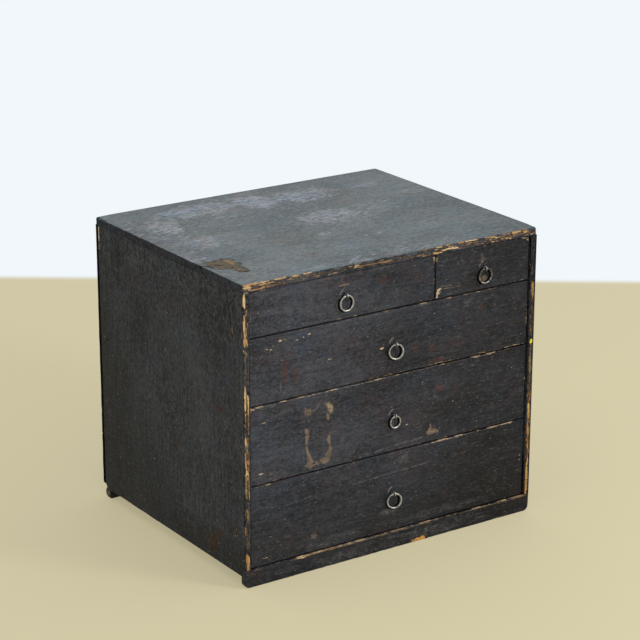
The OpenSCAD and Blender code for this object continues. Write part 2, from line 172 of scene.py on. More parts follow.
class Finish:
    """A material in the making, with its grain along one axis of the chest."""

    def __init__(self, name, grain="x"):
        self.material = bpy.data.materials.new(name)
        self.material.use_nodes = True
        self.tree = self.material.node_tree
        self.tree.nodes.clear()
        self.grain = "xyz".index(grain)
        self.place = self.node("TexCoord").outputs["Object"]
        self.drawn = 0

    def node(self, kind, settings=(), inputs=()):
        made = self.tree.nodes.new("ShaderNode" + kind)
        for name, value in dict(settings).items():
            setattr(made, name, value)
        for name, value in dict(inputs).items():
            if isinstance(value, Field):
                value = value.socket
            if isinstance(value, bpy.types.NodeSocket):
                self.tree.links.new(value, made.inputs[name])
            else:
                made.inputs[name].default_value = value
        return made

    def math(self, operation, *values):
        made = self.node("Math", {"operation": operation}, enumerate(values))
        return Field(self, made.outputs[0])

    def cloudy(self, place, size, stretch, steps, **settings):
        """Noise at a place, drawn out along the grain and moved on by some steps each time."""
        self.drawn += 1
        scale = [1 / (MM * size)] * 3
        scale[self.grain] /= stretch
        shift = [self.drawn * step for step in steps]
        spot = self.node("VectorMath", {"operation": "MULTIPLY_ADD"}, {0: place, 1: scale, 2: shift})
        made = self.node("TexNoise", (), {"Vector": spot.outputs[0], "Scale": 1.0, **settings})
        return Field(self, made.outputs[0])

    def noise(self, size, stretch=1.0, detail=2.0, rough=0.5, warp=0.0):
        """Noise with features of a size in millimetres, drawn out along the grain."""
        settings = {"Detail": detail, "Roughness": rough, "Distortion": warp}
        return self.cloudy(self.place, size, stretch, (7.31, 3.17, 5.73), **settings)

    def slanted(self, turn, size, stretch):
        """Noise drawn out along a line that is turned from the grain, in degrees."""
        swing = self.node("VectorRotate", {"rotation_type": "EULER_XYZ"}, {
            "Vector": self.place, "Rotation": [math.radians(angle) for angle in turn],
        })
        return self.cloudy(swing.outputs[0], size, stretch, (4.7, 4.7, 4.7), Detail=1.0)

    def far(self, axis, low, high):
        """How far a point lies along an axis of the chest, as a share of the way between two
        places in millimetres."""
        made = self.node("SeparateXYZ", (), {0: self.place}).outputs[axis]
        return self.rise(Field(self, made), low * MM, high * MM)

    def along(self, way):
        """How far a point lies along a direction, in metres."""
        made = self.node("VectorMath", {"operation": "DOT_PRODUCT"}, {0: self.place, 1: way})
        return Field(self, made.outputs["Value"])

    def facing(self, axis, low=0.55, high=0.85):
        """1 on the faces that look along an axis, either way."""
        normal = self.node("NewGeometry").outputs["True Normal"]
        part = self.node("SeparateXYZ", (), {0: normal}).outputs[axis]
        return self.rise(self.math("ABSOLUTE", Field(self, part)), low, high)

    def painted(self, name):
        """A number that the mesh carries at its points."""
        made = self.node("Attribute", {"attribute_type": "GEOMETRY", "attribute_name": name})
        return Field(self, made.outputs["Fac"])

    def rise(self, value, low, high):
        """0 below low, 1 above high, and smooth between."""
        made = self.node("MapRange", {"interpolation_type": "SMOOTHSTEP"}, {
            "Value": value, "From Min": low, "From Max": high,
        })
        return Field(self, made.outputs["Result"])

    def mix(self, share, low, high, blend="MIX"):
        """One colour over another."""
        low, high = (tone if isinstance(tone, bpy.types.NodeSocket) else (*tone, 1.0) for tone in (low, high))
        settings = {"data_type": "RGBA", "clamp_factor": True, "blend_type": blend}
        made = self.node("Mix", settings, {0: share, 6: low, 7: high})
        return made.outputs[2]

    def timber(self, light, dark, soft=0.0):
        """The colour of bare wood, with its bands and fibres along the grain."""
        bands = self.noise(3.2, 34, detail=3, warp=0.5)
        fibres = self.noise(0.55, 40, detail=2)
        return self.mix(self.rise(bands * 0.65 + fibres * 0.35, 0.36 - soft, 0.62 + soft), dark, light)

    def close(self, tone, roughness, height, depth, hollow=None, **constants):
        """Puts the colour, roughness and relief together, with black where it is hollow and where a shadow is
        painted.
        """
        bump = self.node("Bump", (), {"Strength": 1.0, "Distance": depth * MM, "Height": height})
        inputs = {"Base Color": tone, "Roughness": roughness, "Normal": bump.outputs[0], **constants}
        shader = self.node("BsdfPrincipled", (), inputs)
        if hollow:
            black = self.node("BsdfPrincipled", (), BLACK)
            shader = self.node("MixShader", (), {0: hollow, 1: shader.outputs[0], 2: black.outputs[0]})
        self.node("OutputMaterial", (), {"Surface": shader.outputs[0]})
        return self.material


class WornPaint(Finish):
    """Old paint over wood: clouded, faintly streaked along the grain, scratched, and worn
    through where the mesh says so. Shine is its roughness, and greyed is how far the bare wood
    has lost its colour."""

    GRAIN = "x"
    KIND = "front"
    # How much the clouds, the bands, the mottle and the fine spots count, and what they span
    SHARES = (0.22, 0.10, 0.32, 0.36)
    SPAN = (0.40, 0.60)
    # How strongly the grain shows, and the undercoat
    STREAK = 1.0
    THINNED = 0.90
    # The tints of the clouds, the colour of thin glue, and that of the freshest wood
    COOL = (0.86, 0.97, 1.06)
    BROWN = (1.08, 0.90, 0.87)
    GLUE_THIN = (0.11, 0.084, 0.062)
    CREAM = (0.95, 0.88, 0.74)
    # The near-black of a pit, and of the painted shadows that share its layer
    PIT = (0.003, 0.003, 0.003)

    def __init__(self, name, colours, shine, gloss, greyed=0.0, fleck=None):
        super().__init__(name, self.GRAIN)
        self.paint, self.wood = colours
        self.shine, self.gloss, self.greyed, self.fleck = shine, gloss, greyed, fleck
        self.deep, self.light = self.shades(self.KIND)
        self.undercoat = self.paint.rubbed
        self.cloud = self.noise(85, 1.6, detail=3, rough=0.55)
        self.bands = self.noise(5, 12, detail=3)
        self.fibre = self.noise(0.7, 22, detail=2)
        self.mottle = self.noise(8, 1.5, detail=5, rough=0.68)
        self.fine = self.noise(2.6, 1.8, detail=3, rough=0.6)
        self.grit = self.noise(1.6, 1.3, detail=2, rough=0.6)
        self.edge = self.noise(1.5, 3.5, detail=4, rough=0.65)
        self.splinter = self.noise(0.9, 15, detail=3, rough=0.6)
        self.ragged = (self.edge - 0.5) * 0.6 + (self.splinter - 0.5) * 0.6

    def shades(self, kind):
        """The darkest and the lightest tone of the paint on one side of the chest."""
        return getattr(self.paint, f"{kind}_deep"), getattr(self.paint, f"{kind}_light")

    def dark(self, share):
        return [part * share for part in self.deep]

    def worn(self, name, amount):
        """A mark of the mesh, with its rim broken up along the grain."""
        mark = self.painted(name)
        return mark + self.ragged * amount * self.rise(mark, 0.02, 0.25)

    # What only some of the paints have

    def shaded(self, tone, depth):
        return tone

    def chipped(self, tone):
        return tone

    def browned(self, timber):
        return timber

    def coated(self, tone):
        """Old glue on the paint, and how rough the paint is."""
        glue = self.painted("tan")
        residue = self.rise(self.worn("tan", 1.8), 0.24, 0.64) * (0.62 + glue * 0.42)
        residue = residue * (0.66 + self.rise(self.fine * 0.5 + self.mottle * 0.5, 0.42, 0.58) * 0.34)
        colour = self.mix(self.rise(self.mottle, 0.36, 0.60), self.GLUE_THIN, self.paint.residue)
        return self.mix(residue, tone, colour), self.shine

    # What all of them have

    def aged(self, tone):
        """Slow clouds of a cooler and of a browner tint, and paint rubbed down to the undercoat."""
        cool = self.rise(self.noise(52, 1.4, detail=4, rough=0.62), 0.48, 0.62)
        brown = self.rise(self.noise(44, 1.4, detail=5, rough=0.66), 0.50, 0.66)
        tone = self.mix(cool, tone, self.COOL, "MULTIPLY")
        tone = self.mix(brown, tone, self.BROWN, "MULTIPLY")
        thin = self.painted("rub") + (self.mottle - 0.5) * 1.5 + (self.grit - 0.5) * 0.8
        thin = self.rise(thin, 0.30, 0.95)
        warm = self.rise(self.noise(36, 1.4, detail=5, rough=0.66), 0.54, 0.74)
        shown = self.math("MAXIMUM", thin * self.THINNED, warm * 0.22)
        return self.mix(shown, tone, self.undercoat)

    def greying(self, scuff, raised):
        """How far the paint has gone grey: raised grain, specks and scratches."""
        specks = self.rise(self.grit, 0.650, 0.72) * self.rise(self.mottle, 0.44, 0.56)
        along = self.rise(self.slanted((0, 5, 2), 0.55, 26), 0.665, 0.74)
        across = self.rise(self.slanted((-38, 42, 30), 0.6, 24), 0.685, 0.76)
        spots = self.rise(self.noise(3.0, 1.2, detail=1), 0.715, 0.775)
        grey = raised * (0.20 * self.STREAK) + specks * 0.72 + along * 0.50 + across * 0.40 + spots
        grey = grey + scuff * (raised * 0.50 + self.rise(self.edge, 0.40, 0.60) * 0.62)
        return grey + self.rise(self.painted("scuff") + (self.edge - 0.5) * 0.9, 1.0, 1.35)

    def nicked(self, tone):
        """Short dark nicks that lie two ways across the grain."""
        nicks = self.rise(self.slanted((30, -34, 24), 0.8, 16), 0.66, 0.74)
        nicks = self.math("MAXIMUM", nicks, self.rise(self.slanted((-24, 20, -50), 0.8, 18), 0.67, 0.75))
        return self.mix(nicks * self.rise(self.cloud, 0.40, 0.60) * 0.75, tone, self.dark(0.3))

    def bare_wood(self, shown):
        """The wood that shows: varnished, greyed, soiled, and with flecks of paint that still hold."""
        wood = self.wood
        varnish = self.rise(self.noise(7, 3, detail=3) - (shown - 0.66) * 0.50, 0.40, 0.58)
        timber = self.mix(varnish * 0.85, self.timber(wood.bare_light, wood.bare_dark), wood.orange)
        timber = self.browned(self.mix(self.greyed, timber, wood.pale))
        timber = self.mix(self.rise(shown, 1.55, 1.8), timber, self.CREAM)
        soiled = self.painted("dirt") + (self.edge - 0.5) * 1.2 + (self.splinter - 0.5) * 1.4
        soiled = self.rise(soiled, 0.12, 0.62)
        soil = self.rise(self.fine * 0.5 + self.splinter * 0.5, 0.43, 0.60)
        timber = self.mix(soiled * 0.90, timber, self.mix(soil, wood.black, wood.dirty))
        flecks = self.rise(self.noise(1.5, 2.2, detail=3, rough=0.7), 0.565, 0.64)
        return self.mix(flecks * 0.85, timber, self.paint.crust)

    def made(self):
        """The material, from the paint down to the wood and the holes in it."""
        clouds, bands, mottle, fine = self.SHARES
        depth = self.cloud * clouds + self.bands * bands + self.mottle * mottle + self.fine * fine
        depth = self.rise(depth, *self.SPAN)
        tone = self.aged(self.shaded(self.mix(depth, self.deep, self.light), depth))
        # Fine cracks in the paint
        seam = self.math("ABSOLUTE", self.noise(13, 0.8, detail=4, rough=0.62) - 0.5)
        crack = (1 - self.rise(seam, 0.0, 0.016)) * self.rise(self.mottle, 0.44, 0.58)
        tone = self.mix(crack * 0.55, tone, self.dark(0.35))
        scuff = self.rise(self.painted("scuff") + (self.mottle - 0.5) * 1.2, 0.15, 0.95)
        raised = self.rise(self.fibre, 0.56, 0.70) * self.rise(self.bands, 0.46, 0.60)
        tone = self.chipped(tone)
        tone = self.nicked(self.mix(self.greying(scuff, raised), tone, self.paint.dust))
        tone, shine = self.coated(tone)
        # Bare wood inside a dark rim, and the unpainted inner face
        shown = self.worn("bare", 2.4)
        bare = self.rise(shown, 0.48, 0.60)
        tone = self.mix(self.rise(shown, 0.30, 0.50) * 0.75, tone, self.paint.crust)
        tone = self.mix(bare, tone, self.bare_wood(shown))
        inner = self.rise(self.painted("inside") + (self.edge - 0.5) * 0.5, 0.42, 0.56)
        tone = self.mix(inner, tone, self.timber(self.wood.aged_light, self.wood.aged_dark))
        if self.fleck:
            spot = self.rise(self.painted("fleck") + (self.edge - 0.5), 0.35, 0.55)
            tone = self.mix(spot, tone, self.fleck)
        # Pits and painted shadows go near-black
        pit = self.rise(self.painted("pit") + (self.edge - 0.5) * 0.7, 0.35, 0.65)
        tone = self.mix(pit, tone, self.PIT)
        open_wood = self.math("MAXIMUM", bare, inner)
        roughness = (self.mottle - 0.5) * 0.35 + (self.grit - 0.5) * 0.3 + shine
        roughness = roughness + (0.72 - shine) * open_wood
        height = (1 - open_wood) * 0.50 + self.fibre * (0.16 * self.STREAK)
        height = height + self.mottle * 0.22 + self.grit * 0.10
        height = height + scuff * raised * 0.5 - pit * 1.5 - crack * 0.4
        return self.close(
            tone, roughness, height, 0.30, pit * 0.9, **{"Specular IOR Level": self.gloss}
        )


class FrontPaint(WornPaint):
    """Paint that keeps to the grain, with painted shade that makes it darker to the right and at the foot."""

    SHARES = (0.30, 0.12, 0.26, 0.32)
    SPAN = (0.37, 0.63)
    THINNED = 0.76

    def shaded(self, tone, depth):
        # Painted shade: darker toward the right and toward the foot, on the drawer fronts and on the rail
        tone = self.mix(self.far("X", -215, 225), tone, (0.34, 0.34, 0.37), "MULTIPLY")
        return self.mix(1 - self.far("Z", 10, 165), tone, (0.45, 0.44, 0.43), "MULTIPLY")


class TopPaint(WornPaint):
    """Greyer, lighter paint, partly a painted sheen, with a pale bloom, and with the other tones on its front
    and its ends.
    """

    KIND = "top"
    STREAK = 0.5
    # The tones of the sides are taken down to these shares on the ends of the top board
    END_SHARES = (0.62, 0.68, 0.78)

    def shaded(self, tone, depth):
        wisps = self.noise(2.0, 5, detail=4, rough=0.66, warp=0.4)
        haze = self.painted("tan") + (self.mottle - 0.5) * 2.0 + (wisps - 0.5) * 3.2
        haze = haze + (self.noise(24, 1.2, detail=4, rough=0.6) - 0.5) * 1.4
        broken = 0.24 + self.rise(wisps * 0.6 + self.fine * 0.4, 0.42, 0.56) * 0.74
        tone = self.mix(self.rise(haze, 0.42, 1.15) * broken, tone, self.paint.bloom)
        ends = [[part * share for part, share in zip(shade, self.END_SHARES)]
                for shade in self.shades("side")]
        upright = self.mix(
            self.facing("X"), self.mix(depth, *self.shades("front")), self.mix(depth, *ends)
        )
        tone = self.mix(self.far("X", 0, 228), tone, (0.85, 0.86, 0.88), "MULTIPLY")
        # The upward face takes the lighter top tones, partly a painted sheen
        return self.mix(self.facing("Z"), upright, tone)

    def coated(self, tone):
        return tone, self.shine + self.facing("X") * 0.35


class SidePaint(WornPaint):
    """Paint of the sides and the back, stained brown, darker at the foot and the back, with painted shade at
    the right.
    """

    GRAIN = "z"
    KIND = "side"
    BROWN = (1.03, 0.96, 0.93)

    def __init__(self, *args, **options):
        super().__init__(*args, **options)
        self.undercoat = self.paint.rust

    def shaded(self, tone, depth):
        # Darker at the foot and toward the back
        darker_low_rear = self.along((0.0, 0.8, -0.6)) + (self.mottle - 0.5) * 0.05
        darker_low_rear = self.math("MAXIMUM", self.rise(darker_low_rear, -0.095, -0.005), 1 - self.far("Z", 35, 80))
        tone = self.mix(darker_low_rear, tone, (0.44, 0.44, 0.45), "MULTIPLY")
        # Painted shade: the faces that look to the front or the back are darker toward the right, like the
        # drawer fronts
        right = self.facing("Y") * self.far("X", 100, 220)
        return self.mix(right, tone, (0.40, 0.40, 0.43), "MULTIPLY")

    def chipped(self, tone):
        """Dark chips along the upper edge."""
        chips = self.rise(self.noise(4.5, 1.3, detail=5, rough=0.72, warp=0.5), 0.50, 0.57)
        return self.mix(chips * self.far("Z", 250, 388) * 0.9, tone, self.dark(0.2))

    def browned(self, timber):
        """At the right and at the foot the wood has gone browner."""
        brown = self.math("MAXIMUM", self.far("X", 0, 200), 0.95 - self.far("Z", 50, 125) * 0.65)
        return self.mix(brown, timber, (0.84, 0.70, 0.44), "MULTIPLY")


def raw_wood(name, grain, light, dark, dirty, soil=0.3):
    """Old unpainted wood, with soiled places and darker end grain."""
    f = Finish(name, grain)
    tone = f.timber(light, dark, 0.16)
    pores = f.rise(f.noise(0.8, 12, detail=2), 0.60, 0.70)
    soiled = f.rise(f.noise(60, 1.5, detail=4, rough=0.6), 0.45, 0.75)
    tone = f.mix(pores * 0.35 + soiled * soil, tone, dirty)
    tone = f.mix(f.facing("XYZ"[f.grain], 0.7, 0.9) * 0.45, tone, dark)
    fibres = f.noise(0.7, 30, detail=3)
    return f.close(tone, 0.62 + fibres * 0.16, fibres + pores * -0.5, 0.15)


def old_iron(name, bright, dark):
    """Wrought iron in a brown skin, polished bright where it is touched."""
    f = Finish(name)
    patches = f.noise(3.0, detail=4, rough=0.65)
    grain = f.noise(0.5, detail=3, rough=0.6)
    worn = f.rise(f.painted("bare") * 0.5 + (patches - 0.5) * 1.5 + (grain - 0.5) * 0.5, 0.05, 0.65)
    tone = f.mix(worn, dark, bright)
    roughness = 0.55 - worn * 0.20 + (grain - 0.5) * 0.3
    return f.close(tone, roughness, patches * 0.7 + grain * 0.3, 0.14, Metallic=0.75)


# Worn boards

# The finest spacing of a net, in millimetres, and the points round the mouth of a hole
FINEST = 0.7
HOLE_SIDES = 18
HOLE_TURN = np.arange(HOLE_SIDES) / HOLE_SIDES * math.tau


class Lattice:
    """Smooth seeded noise from 0 to 1, at points in millimetres."""

    def __init__(self, seed):
        self.table = np.random.RandomState(seed).rand(32, 32, 32)

    def __call__(self, points, size):
        cell = np.asarray(points, float) / size
        low = np.floor(cell).astype(int)
        part = cell - low
        part = part * part * (3 - 2 * part)
        total = 0.0
        for corner in itertools.product((0, 1), repeat=3):
            weight = np.prod(np.where(corner, part, 1 - part), axis=1)
            total = total + weight * self.table[tuple(((low + corner) % 32).T)]
        return total


def trace(corners, radii, step):
    """The points of an outline that runs anticlockwise, their outward normals, and how far an
    arris may be worn in at each."""
    points, normals, room = [], [], []
    count = len(corners)
    corners = [np.array(corner, float) for corner in corners]
    for k in range(count):
        here, after = corners[k], corners[(k + 1) % count]
        into = (here - corners[k - 1]) / np.linalg.norm(here - corners[k - 1])
        gap = np.linalg.norm(after - here)
        out = (after - here) / gap
        normal_in, normal_out = np.array([into[1], -into[0]]), np.array([out[1], -out[0]])
        radius = radii[k]
        if radius > 0:
            centre = here - into * radius + out * radius
            for angle in np.linspace(0, math.pi / 2, 3 + int(radius * 1.2)):
                normal = normal_in * math.cos(angle) + normal_out * math.sin(angle)
                points.append(centre + normal * radius)
                normals.append(normal)
                room.append(radius * 0.9)
        else:
            points.append(here)
            normals.append(normal_in + normal_out)
            room.append(0.4)
        start, stop = radius, gap - radii[(k + 1) % count]
        parts = max(1, round((stop - start) / step))
        for j in range(1, parts):
            far = start + (stop - start) * j / parts
            points.append(here + out * far)
            normals.append(normal_out)
            room.append(0.9 * min(far, gap - far))
    return np.array(points), np.array(normals), np.array(room)


def nearest(points, outline):
    """For each point, its distance to the nearest outline point and that point's index."""
    gaps, found = [], []
    for part in np.array_split(points, max(1, len(points) // 2000)):
        table = np.linalg.norm(part[:, None] - outline[None], axis=2)
        found.append(table.argmin(axis=1))
        gaps.append(table.min(axis=1))
    return np.concatenate(gaps), np.concatenate(found)


def shares(flat, depth, marks):
    """What each mark adds at points across a face, and at a depth under it."""
    for m in marks:
        if isinstance(m[2], tuple):
            strength = m[1]
            away = np.full(len(flat), 9.0)
            for a, b in zip(np.array(m[2:]), np.array(m[3:])):
                way = b[:2] - a[:2]
                part = np.clip((flat - a[:2]) @ way / way.dot(way), 0, 1)
                gap = np.linalg.norm(flat - a[:2] - part[:, None] * way, axis=1)
                away = np.minimum(away, gap / (a[2] + (b[2] - a[2]) * part))
        else:
            strength = m[5]
            away = np.hypot((flat[:, 0] - m[1]) / m[3], (flat[:, 1] - m[2]) / m[4])
        yield m[0], strength * np.clip(1.9 * (1 - np.hypot(away, depth)), 0, 1)


def fine_patches(marks):
    """Where a face needs a finer net: the middle, half widths and spacing for each part of a mark."""
    for m in marks:
        if isinstance(m[2], tuple):
            for a, b in zip(m[2:], m[3:]):
                room = max(a[2], b[2]) * 1.3
                yield (
                    (a[0] + b[0]) / 2, (a[1] + b[1]) / 2, abs(a[0] - b[0]) / 2 + room,
                    abs(a[1] - b[1]) / 2 + room, max(FINEST, min(a[2], b[2]) * 0.5),
                )
        elif m[0] != "arris":
            yield m[1], m[2], m[3] * 1.3, m[4] * 1.3, max(FINEST, min(m[3], m[4]) * 0.55)


def around(u, v, reach):
    """Points round the middle of a hole, all at one distance or each at its own."""
    return np.c_[u + reach * np.cos(HOLE_TURN), v + reach * np.sin(HOLE_TURN)]


def strip(low, high, count):
    """The faces between two closed rows of points, each given by its first index."""
    turn = np.arange(count)
    after = (turn + 1) % count
    return list(zip(low + turn, low + after, high + after, high + turn))


class Board:
    """A worn board: an outline across one axis, carried through its thickness, with arrises
    that are rounded and chipped, faces that are a little hollow, and holes.

    Lengths are in millimetres. The outer face is the painted one. Marks lie on it, and front
    marks on whatever faces the front. Eases are the radii of its two arrises, which a snug
    function changes along the outline. Wave is how far the outline wanders in."""

    PLANES = {"x": (1, 2, 0), "y": (0, 2, 1), "z": (0, 1, 2)}
    # Steps round an arris, and the rows of points just inside it on the outer face
    TURNS = 3
    INNER_ROWS = (0.9, 2.4, 5.0)
    # The edge number of points that lie far from any arris
    FAR = 99.0

    def __init__(self, axis, corners, radii, ends, outer, eases, seed, wear, rows=3, wave=0.3,
                 paint_depth=99.0, marks=(), front_marks=(), holes=(), pegs=(), worn=0.5, chips=1.0,
                 reach=8.0, hollow=None, fine=(), step=1.0, snug=None):
        self.plane = self.PLANES[axis]
        self.seed, self.wear, self.holes = seed, wear, holes
        self.marks, self.front_marks, self.reach = marks, front_marks, reach
        self.noise = Lattice(seed)
        self.ends, self.outer, self.worn = ends, outer, worn
        self.thick = ends[1] - ends[0]
        self.paint_depth, self.hollow, self.pegs, self.snug = paint_depth, hollow, pegs, snug
        self.fine = [*fine, *((*peg, 2.6, 2.6, FINEST) for peg in pegs), *fine_patches(marks)]
        self.points, self.rings, self.edges, self.faces = [], [], [], []
        line, normals, room = trace(corners, radii, wear.outline_step / MM * step)
        # The outline wanders in a little from the true one
        wave = wave(line) if callable(wave) else wave
        wander = 0.08 + wave * self.noise(np.c_[line, np.full(len(line), 5.0)], 45)
        wander += 0.3 * wave * self.noise(np.c_[line, np.full(len(line), 9.0)], 8)
        wander = wander * np.minimum(1, room / 3 + 0.2)
        self.line, room = line - normals * wander[:, None], room - wander
        worn_in = [
            self.arris(self.line, room, ease * (snug(self.line) if snug else 1.0), end, chips)
            for ease, end in zip(eases, (0, 1))
        ]
        self.sweep(self.line, normals, worn_in, rows)
        for end in (0, 1):
            self.cover(end)

    def arris(self, line, room, ease, end, chips):
        """How far an arris is worn in along the outline."""
        depth = ease * (0.55 + 0.9 * self.noise(np.c_[line, np.full(len(line), 40.0 * end)], 18))
        if end == self.outer:
            draw = np.random.RandomState(self.seed + 17 * end)
            for place in draw.randint(0, len(line), max(4, len(line) // 28)):
                width = 1.5 + 4.5 * draw.rand()
                bite = (0.4 + 1.5 * draw.rand() ** 2) * chips * self.wear.chips
                gap = np.linalg.norm(line - line[place], axis=1)
                depth = np.maximum(depth, (ease * 0.8 + bite) * np.clip(1.5 - gap / width, 0, 1))
        return np.clip(depth, 0.12, np.minimum(room, self.thick * 0.42))

    def add(self, flat, level, edge):
        """Adds points by their place across the axis and along it; returns the first index."""
        first = sum(len(block) for block in self.points)
        block = np.zeros((len(flat), 3))
        block[:, self.plane[0]], block[:, self.plane[1]] = flat[:, 0], flat[:, 1]
        block[:, self.plane[2]] = level
        self.points.append(block)
        self.edges.append(np.broadcast_to(edge, len(flat)).astype(float))
        return first

    def sweep(self, line, normals, worn_in, rows):
        """The sides of the board, with both rounded arrises."""
        bands = []
        angles = np.linspace(math.pi / 2, 0, self.TURNS + 1)
        for end, order in ((0, angles), (1, angles[::-1])):
            sign = 1 if end == 0 else -1
            depth = worn_in[end]
            if end == 1:
                low, high = self.ends[0] + worn_in[0], self.ends[1] - worn_in[1]
                for k in range(1, rows + 1):
                    level = low + (high - low) * k / (rows + 1)
                    gap = np.minimum(level - low, high - level)
                    spot = np.c_[line, level]
                    dent = 0.18 * self.noise(spot, 11) * np.minimum(1, gap)
                    bands.append(self.add(line - normals * dent[:, None], level, gap))
            for angle in order:
                inset, drop = depth * (1 - math.cos(angle)), depth * (1 - math.sin(angle))
                bands.append(self.add(line - normals * inset[:, None], self.ends[end] + sign * drop, 0.0))
            self.rings.append(bands[0] if end == 0 else bands[-1])
        for low, high in zip(bands, bands[1:]):
            self.faces += strip(low, high, len(line))

    def dents(self, flat, end):
        """How far the face lies inside the true one, at points across the axis."""
        spot = np.c_[flat, np.full(len(flat), 70.0 * end)]
        depth = self.wear.dents / MM * (0.75 * self.noise(spot, 95) + 0.25 * self.noise(spot, 17))
        if self.hollow is not None and end == self.outer:
            depth = depth + self.hollow(flat)
        for u, v in self.pegs if end == self.outer else ():
            depth = depth + 0.16 * np.exp(-(np.hypot(flat[:, 0] - u, flat[:, 1] - v) / 1.5) ** 6)
        return depth

    def net(self, rim, end):
        """Places inside the rim of a face, closer together near marks and pegs."""
        main = end == self.outer
        low, high = rim.min(axis=0), rim.max(axis=0)
        step = self.wear.face_step / MM * (1 if main else 2.5)
        patches = [(*((low + high) / 2), *((high - low) / 2), step)] + (self.fine if main else [])
        draw = np.random.RandomState(self.seed + 5 + end)
        free = []
        for u, v, half_u, half_v, gap in patches:
            us = np.arange(u - half_u, u + half_u, gap)
            vs = np.arange(v - half_v, v + half_v, gap)
            spots = np.stack(np.meshgrid(us, vs), -1).reshape(-1, 2)
            spots = spots + (draw.rand(*spots.shape) - 0.5) * gap * 0.5
            free.append(np.c_[spots, np.full(len(spots), gap)])
        # Rows just inside the arris carry the wear from it into the face
        normal = np.roll(rim, -1, axis=0) - np.roll(rim, 1, axis=0)
        normal = np.c_[normal[:, 1], -normal[:, 0]] / np.linalg.norm(normal, axis=1)[:, None]
        for inset in (self.INNER_ROWS if main else (2.0,)):
            free.append(np.c_[rim - normal * inset, np.full(len(rim), inset)])
        free = np.concatenate(free)
        gap, found = nearest(free[:, :2], rim)
        inward = ((free[:, :2] - rim[found]) * normal[found]).sum(axis=1) < 0
        keep = inward & (gap > np.minimum(free[:, 2] * 0.45, 1.2))
        for u, v, radius, _ in (self.holes if main else ()):
            keep &= np.hypot(free[:, 0] - u, free[:, 1] - v) > radius + 0.9
        return free[keep][:, :2]

    def cover(self, end):
        """A face of the board: a fine net of triangles inside the arris, and its holes."""
        sign = 1 if end == 0 else -1
        count = len(self.line)
        ring = self.rings[end]
        rim = np.concatenate(self.points)[ring:ring + count][:, list(self.plane[:2])]
        free = self.net(rim, end)
        flat, loops = [rim, free], [np.arange(count)]
        total = count + len(free)
        mouths = []
        for u, v, radius, depth in (self.holes if end == self.outer else ()):
            # The mouth of a hole is a little out of round
            ragged = 1 + 0.10 * np.sin(2 * HOLE_TURN + u) + 0.05 * np.sin(5 * HOLE_TURN + v)
            flat.append(around(u, v, (radius + 0.35) * ragged))
            loops.append(total + np.arange(HOLE_SIDES))
            mouths.append((u, v, radius, depth, total))
            total += HOLE_SIDES
        flat = np.concatenate(flat)
        edges = [(int(a), int(b)) for loop in loops for a, b in zip(loop, np.roll(loop, -1))]
        triangles, sources = delaunay_2d_cdt([Vector(spot) for spot in flat], edges, [], 1, 1e-6, True)[2:4]
        first = self.add(flat[count:], self.ends[end] + sign * self.dents(flat[count:], end), self.FAR)
        self.edges[-1] = nearest(flat[count:], rim)[0]

        def index(k):
            return ring + k if k < count else first + k - count

        for face in triangles:
            if not all(sources[k] for k in face):
                raise RuntimeError("an outline crosses itself on a board")
            spots = [sources[k][0] for k in face]
            middle = flat[spots].mean(axis=0)
            if not any(math.hypot(middle[0] - m[0], middle[1] - m[1]) < m[2] * 0.8 for m in mouths):
                self.faces.append(tuple(index(k) for k in spots))
        for u, v, radius, depth, start in mouths:
            self.bore(u, v, radius, depth, index(start), end, sign)

    def bore(self, u, v, radius, depth, mouth, end, sign):
        """The sides and the bottom of a hole, from the ring of points at its mouth."""
        before = mouth
        for reach, level in ((radius + 0.08, 0.18), (radius, 0.5), (radius * 0.92, depth)):
            here = self.add(around(u, v, reach), self.ends[end] + sign * level, self.FAR)
            self.faces += strip(before, here, HOLE_SIDES)
            before = here
        tip = self.add(np.array([[u, v]]), self.ends[end] + sign * depth, self.FAR)
        self.faces += [(before + k, before + (k + 1) % HOLE_SIDES, tip) for k in range(HOLE_SIDES)]

    def paint(self, points, edges):
        """The numbers that the finish reads, at each point of the mesh."""
        face = self.ends[self.outer]
        depth = np.abs(points[:, self.plane[2]] - face)
        layers = {name: np.zeros(len(points)) for name in LAYERS}
        close = np.exp(-(edges / 1.1) ** 1.2) * np.clip(1.5 - depth / 16, 0.35, 1)
        patchy = 0.55 * self.noise(points, 16) + 0.45 * self.noise(points, 4)
        boost = np.zeros(len(points))
        laid = itertools.chain(
            shares(points[:, list(self.plane[:2])], depth / self.reach, self.marks),
            shares(points[:, [0, 2]], (points[:, 1] - points[:, 1].min()) / 3.0, self.front_marks),
        )
        for name, amount in laid:
            if name == "arris":
                boost = np.maximum(boost, amount)
            else:
                layers[name] = np.maximum(layers[name], amount)
        arris = close * (self.wear.arris * 2 * self.worn + (patchy - 0.5) * 1.5 + boost)
        if self.snug:
            arris = arris * np.minimum(1.0, self.snug(points[:, list(self.plane[:2])]))
        layers["bare"] = np.clip(np.maximum(layers["bare"], arris), 0, 2.0)
        layers["inside"] = np.clip(depth - self.paint_depth + 0.5, 0, 1)
        if self.plane[2] != 1:
            layers["inside"] *= np.clip((points[:, 1] - points[:, 1].min()) / 2 - 1.5, 0, 1)
        return layers

    def build(self, name, material, body, node, change=None):
        """Makes the piece. A change adds marks that depend on the place of each point."""
        points, edges = np.concatenate(self.points), np.concatenate(self.edges)
        layers = self.paint(points, edges)
        if change:
            change(points, edges, layers)
        finish_piece(name, points, self.faces, layers, material, body, node)


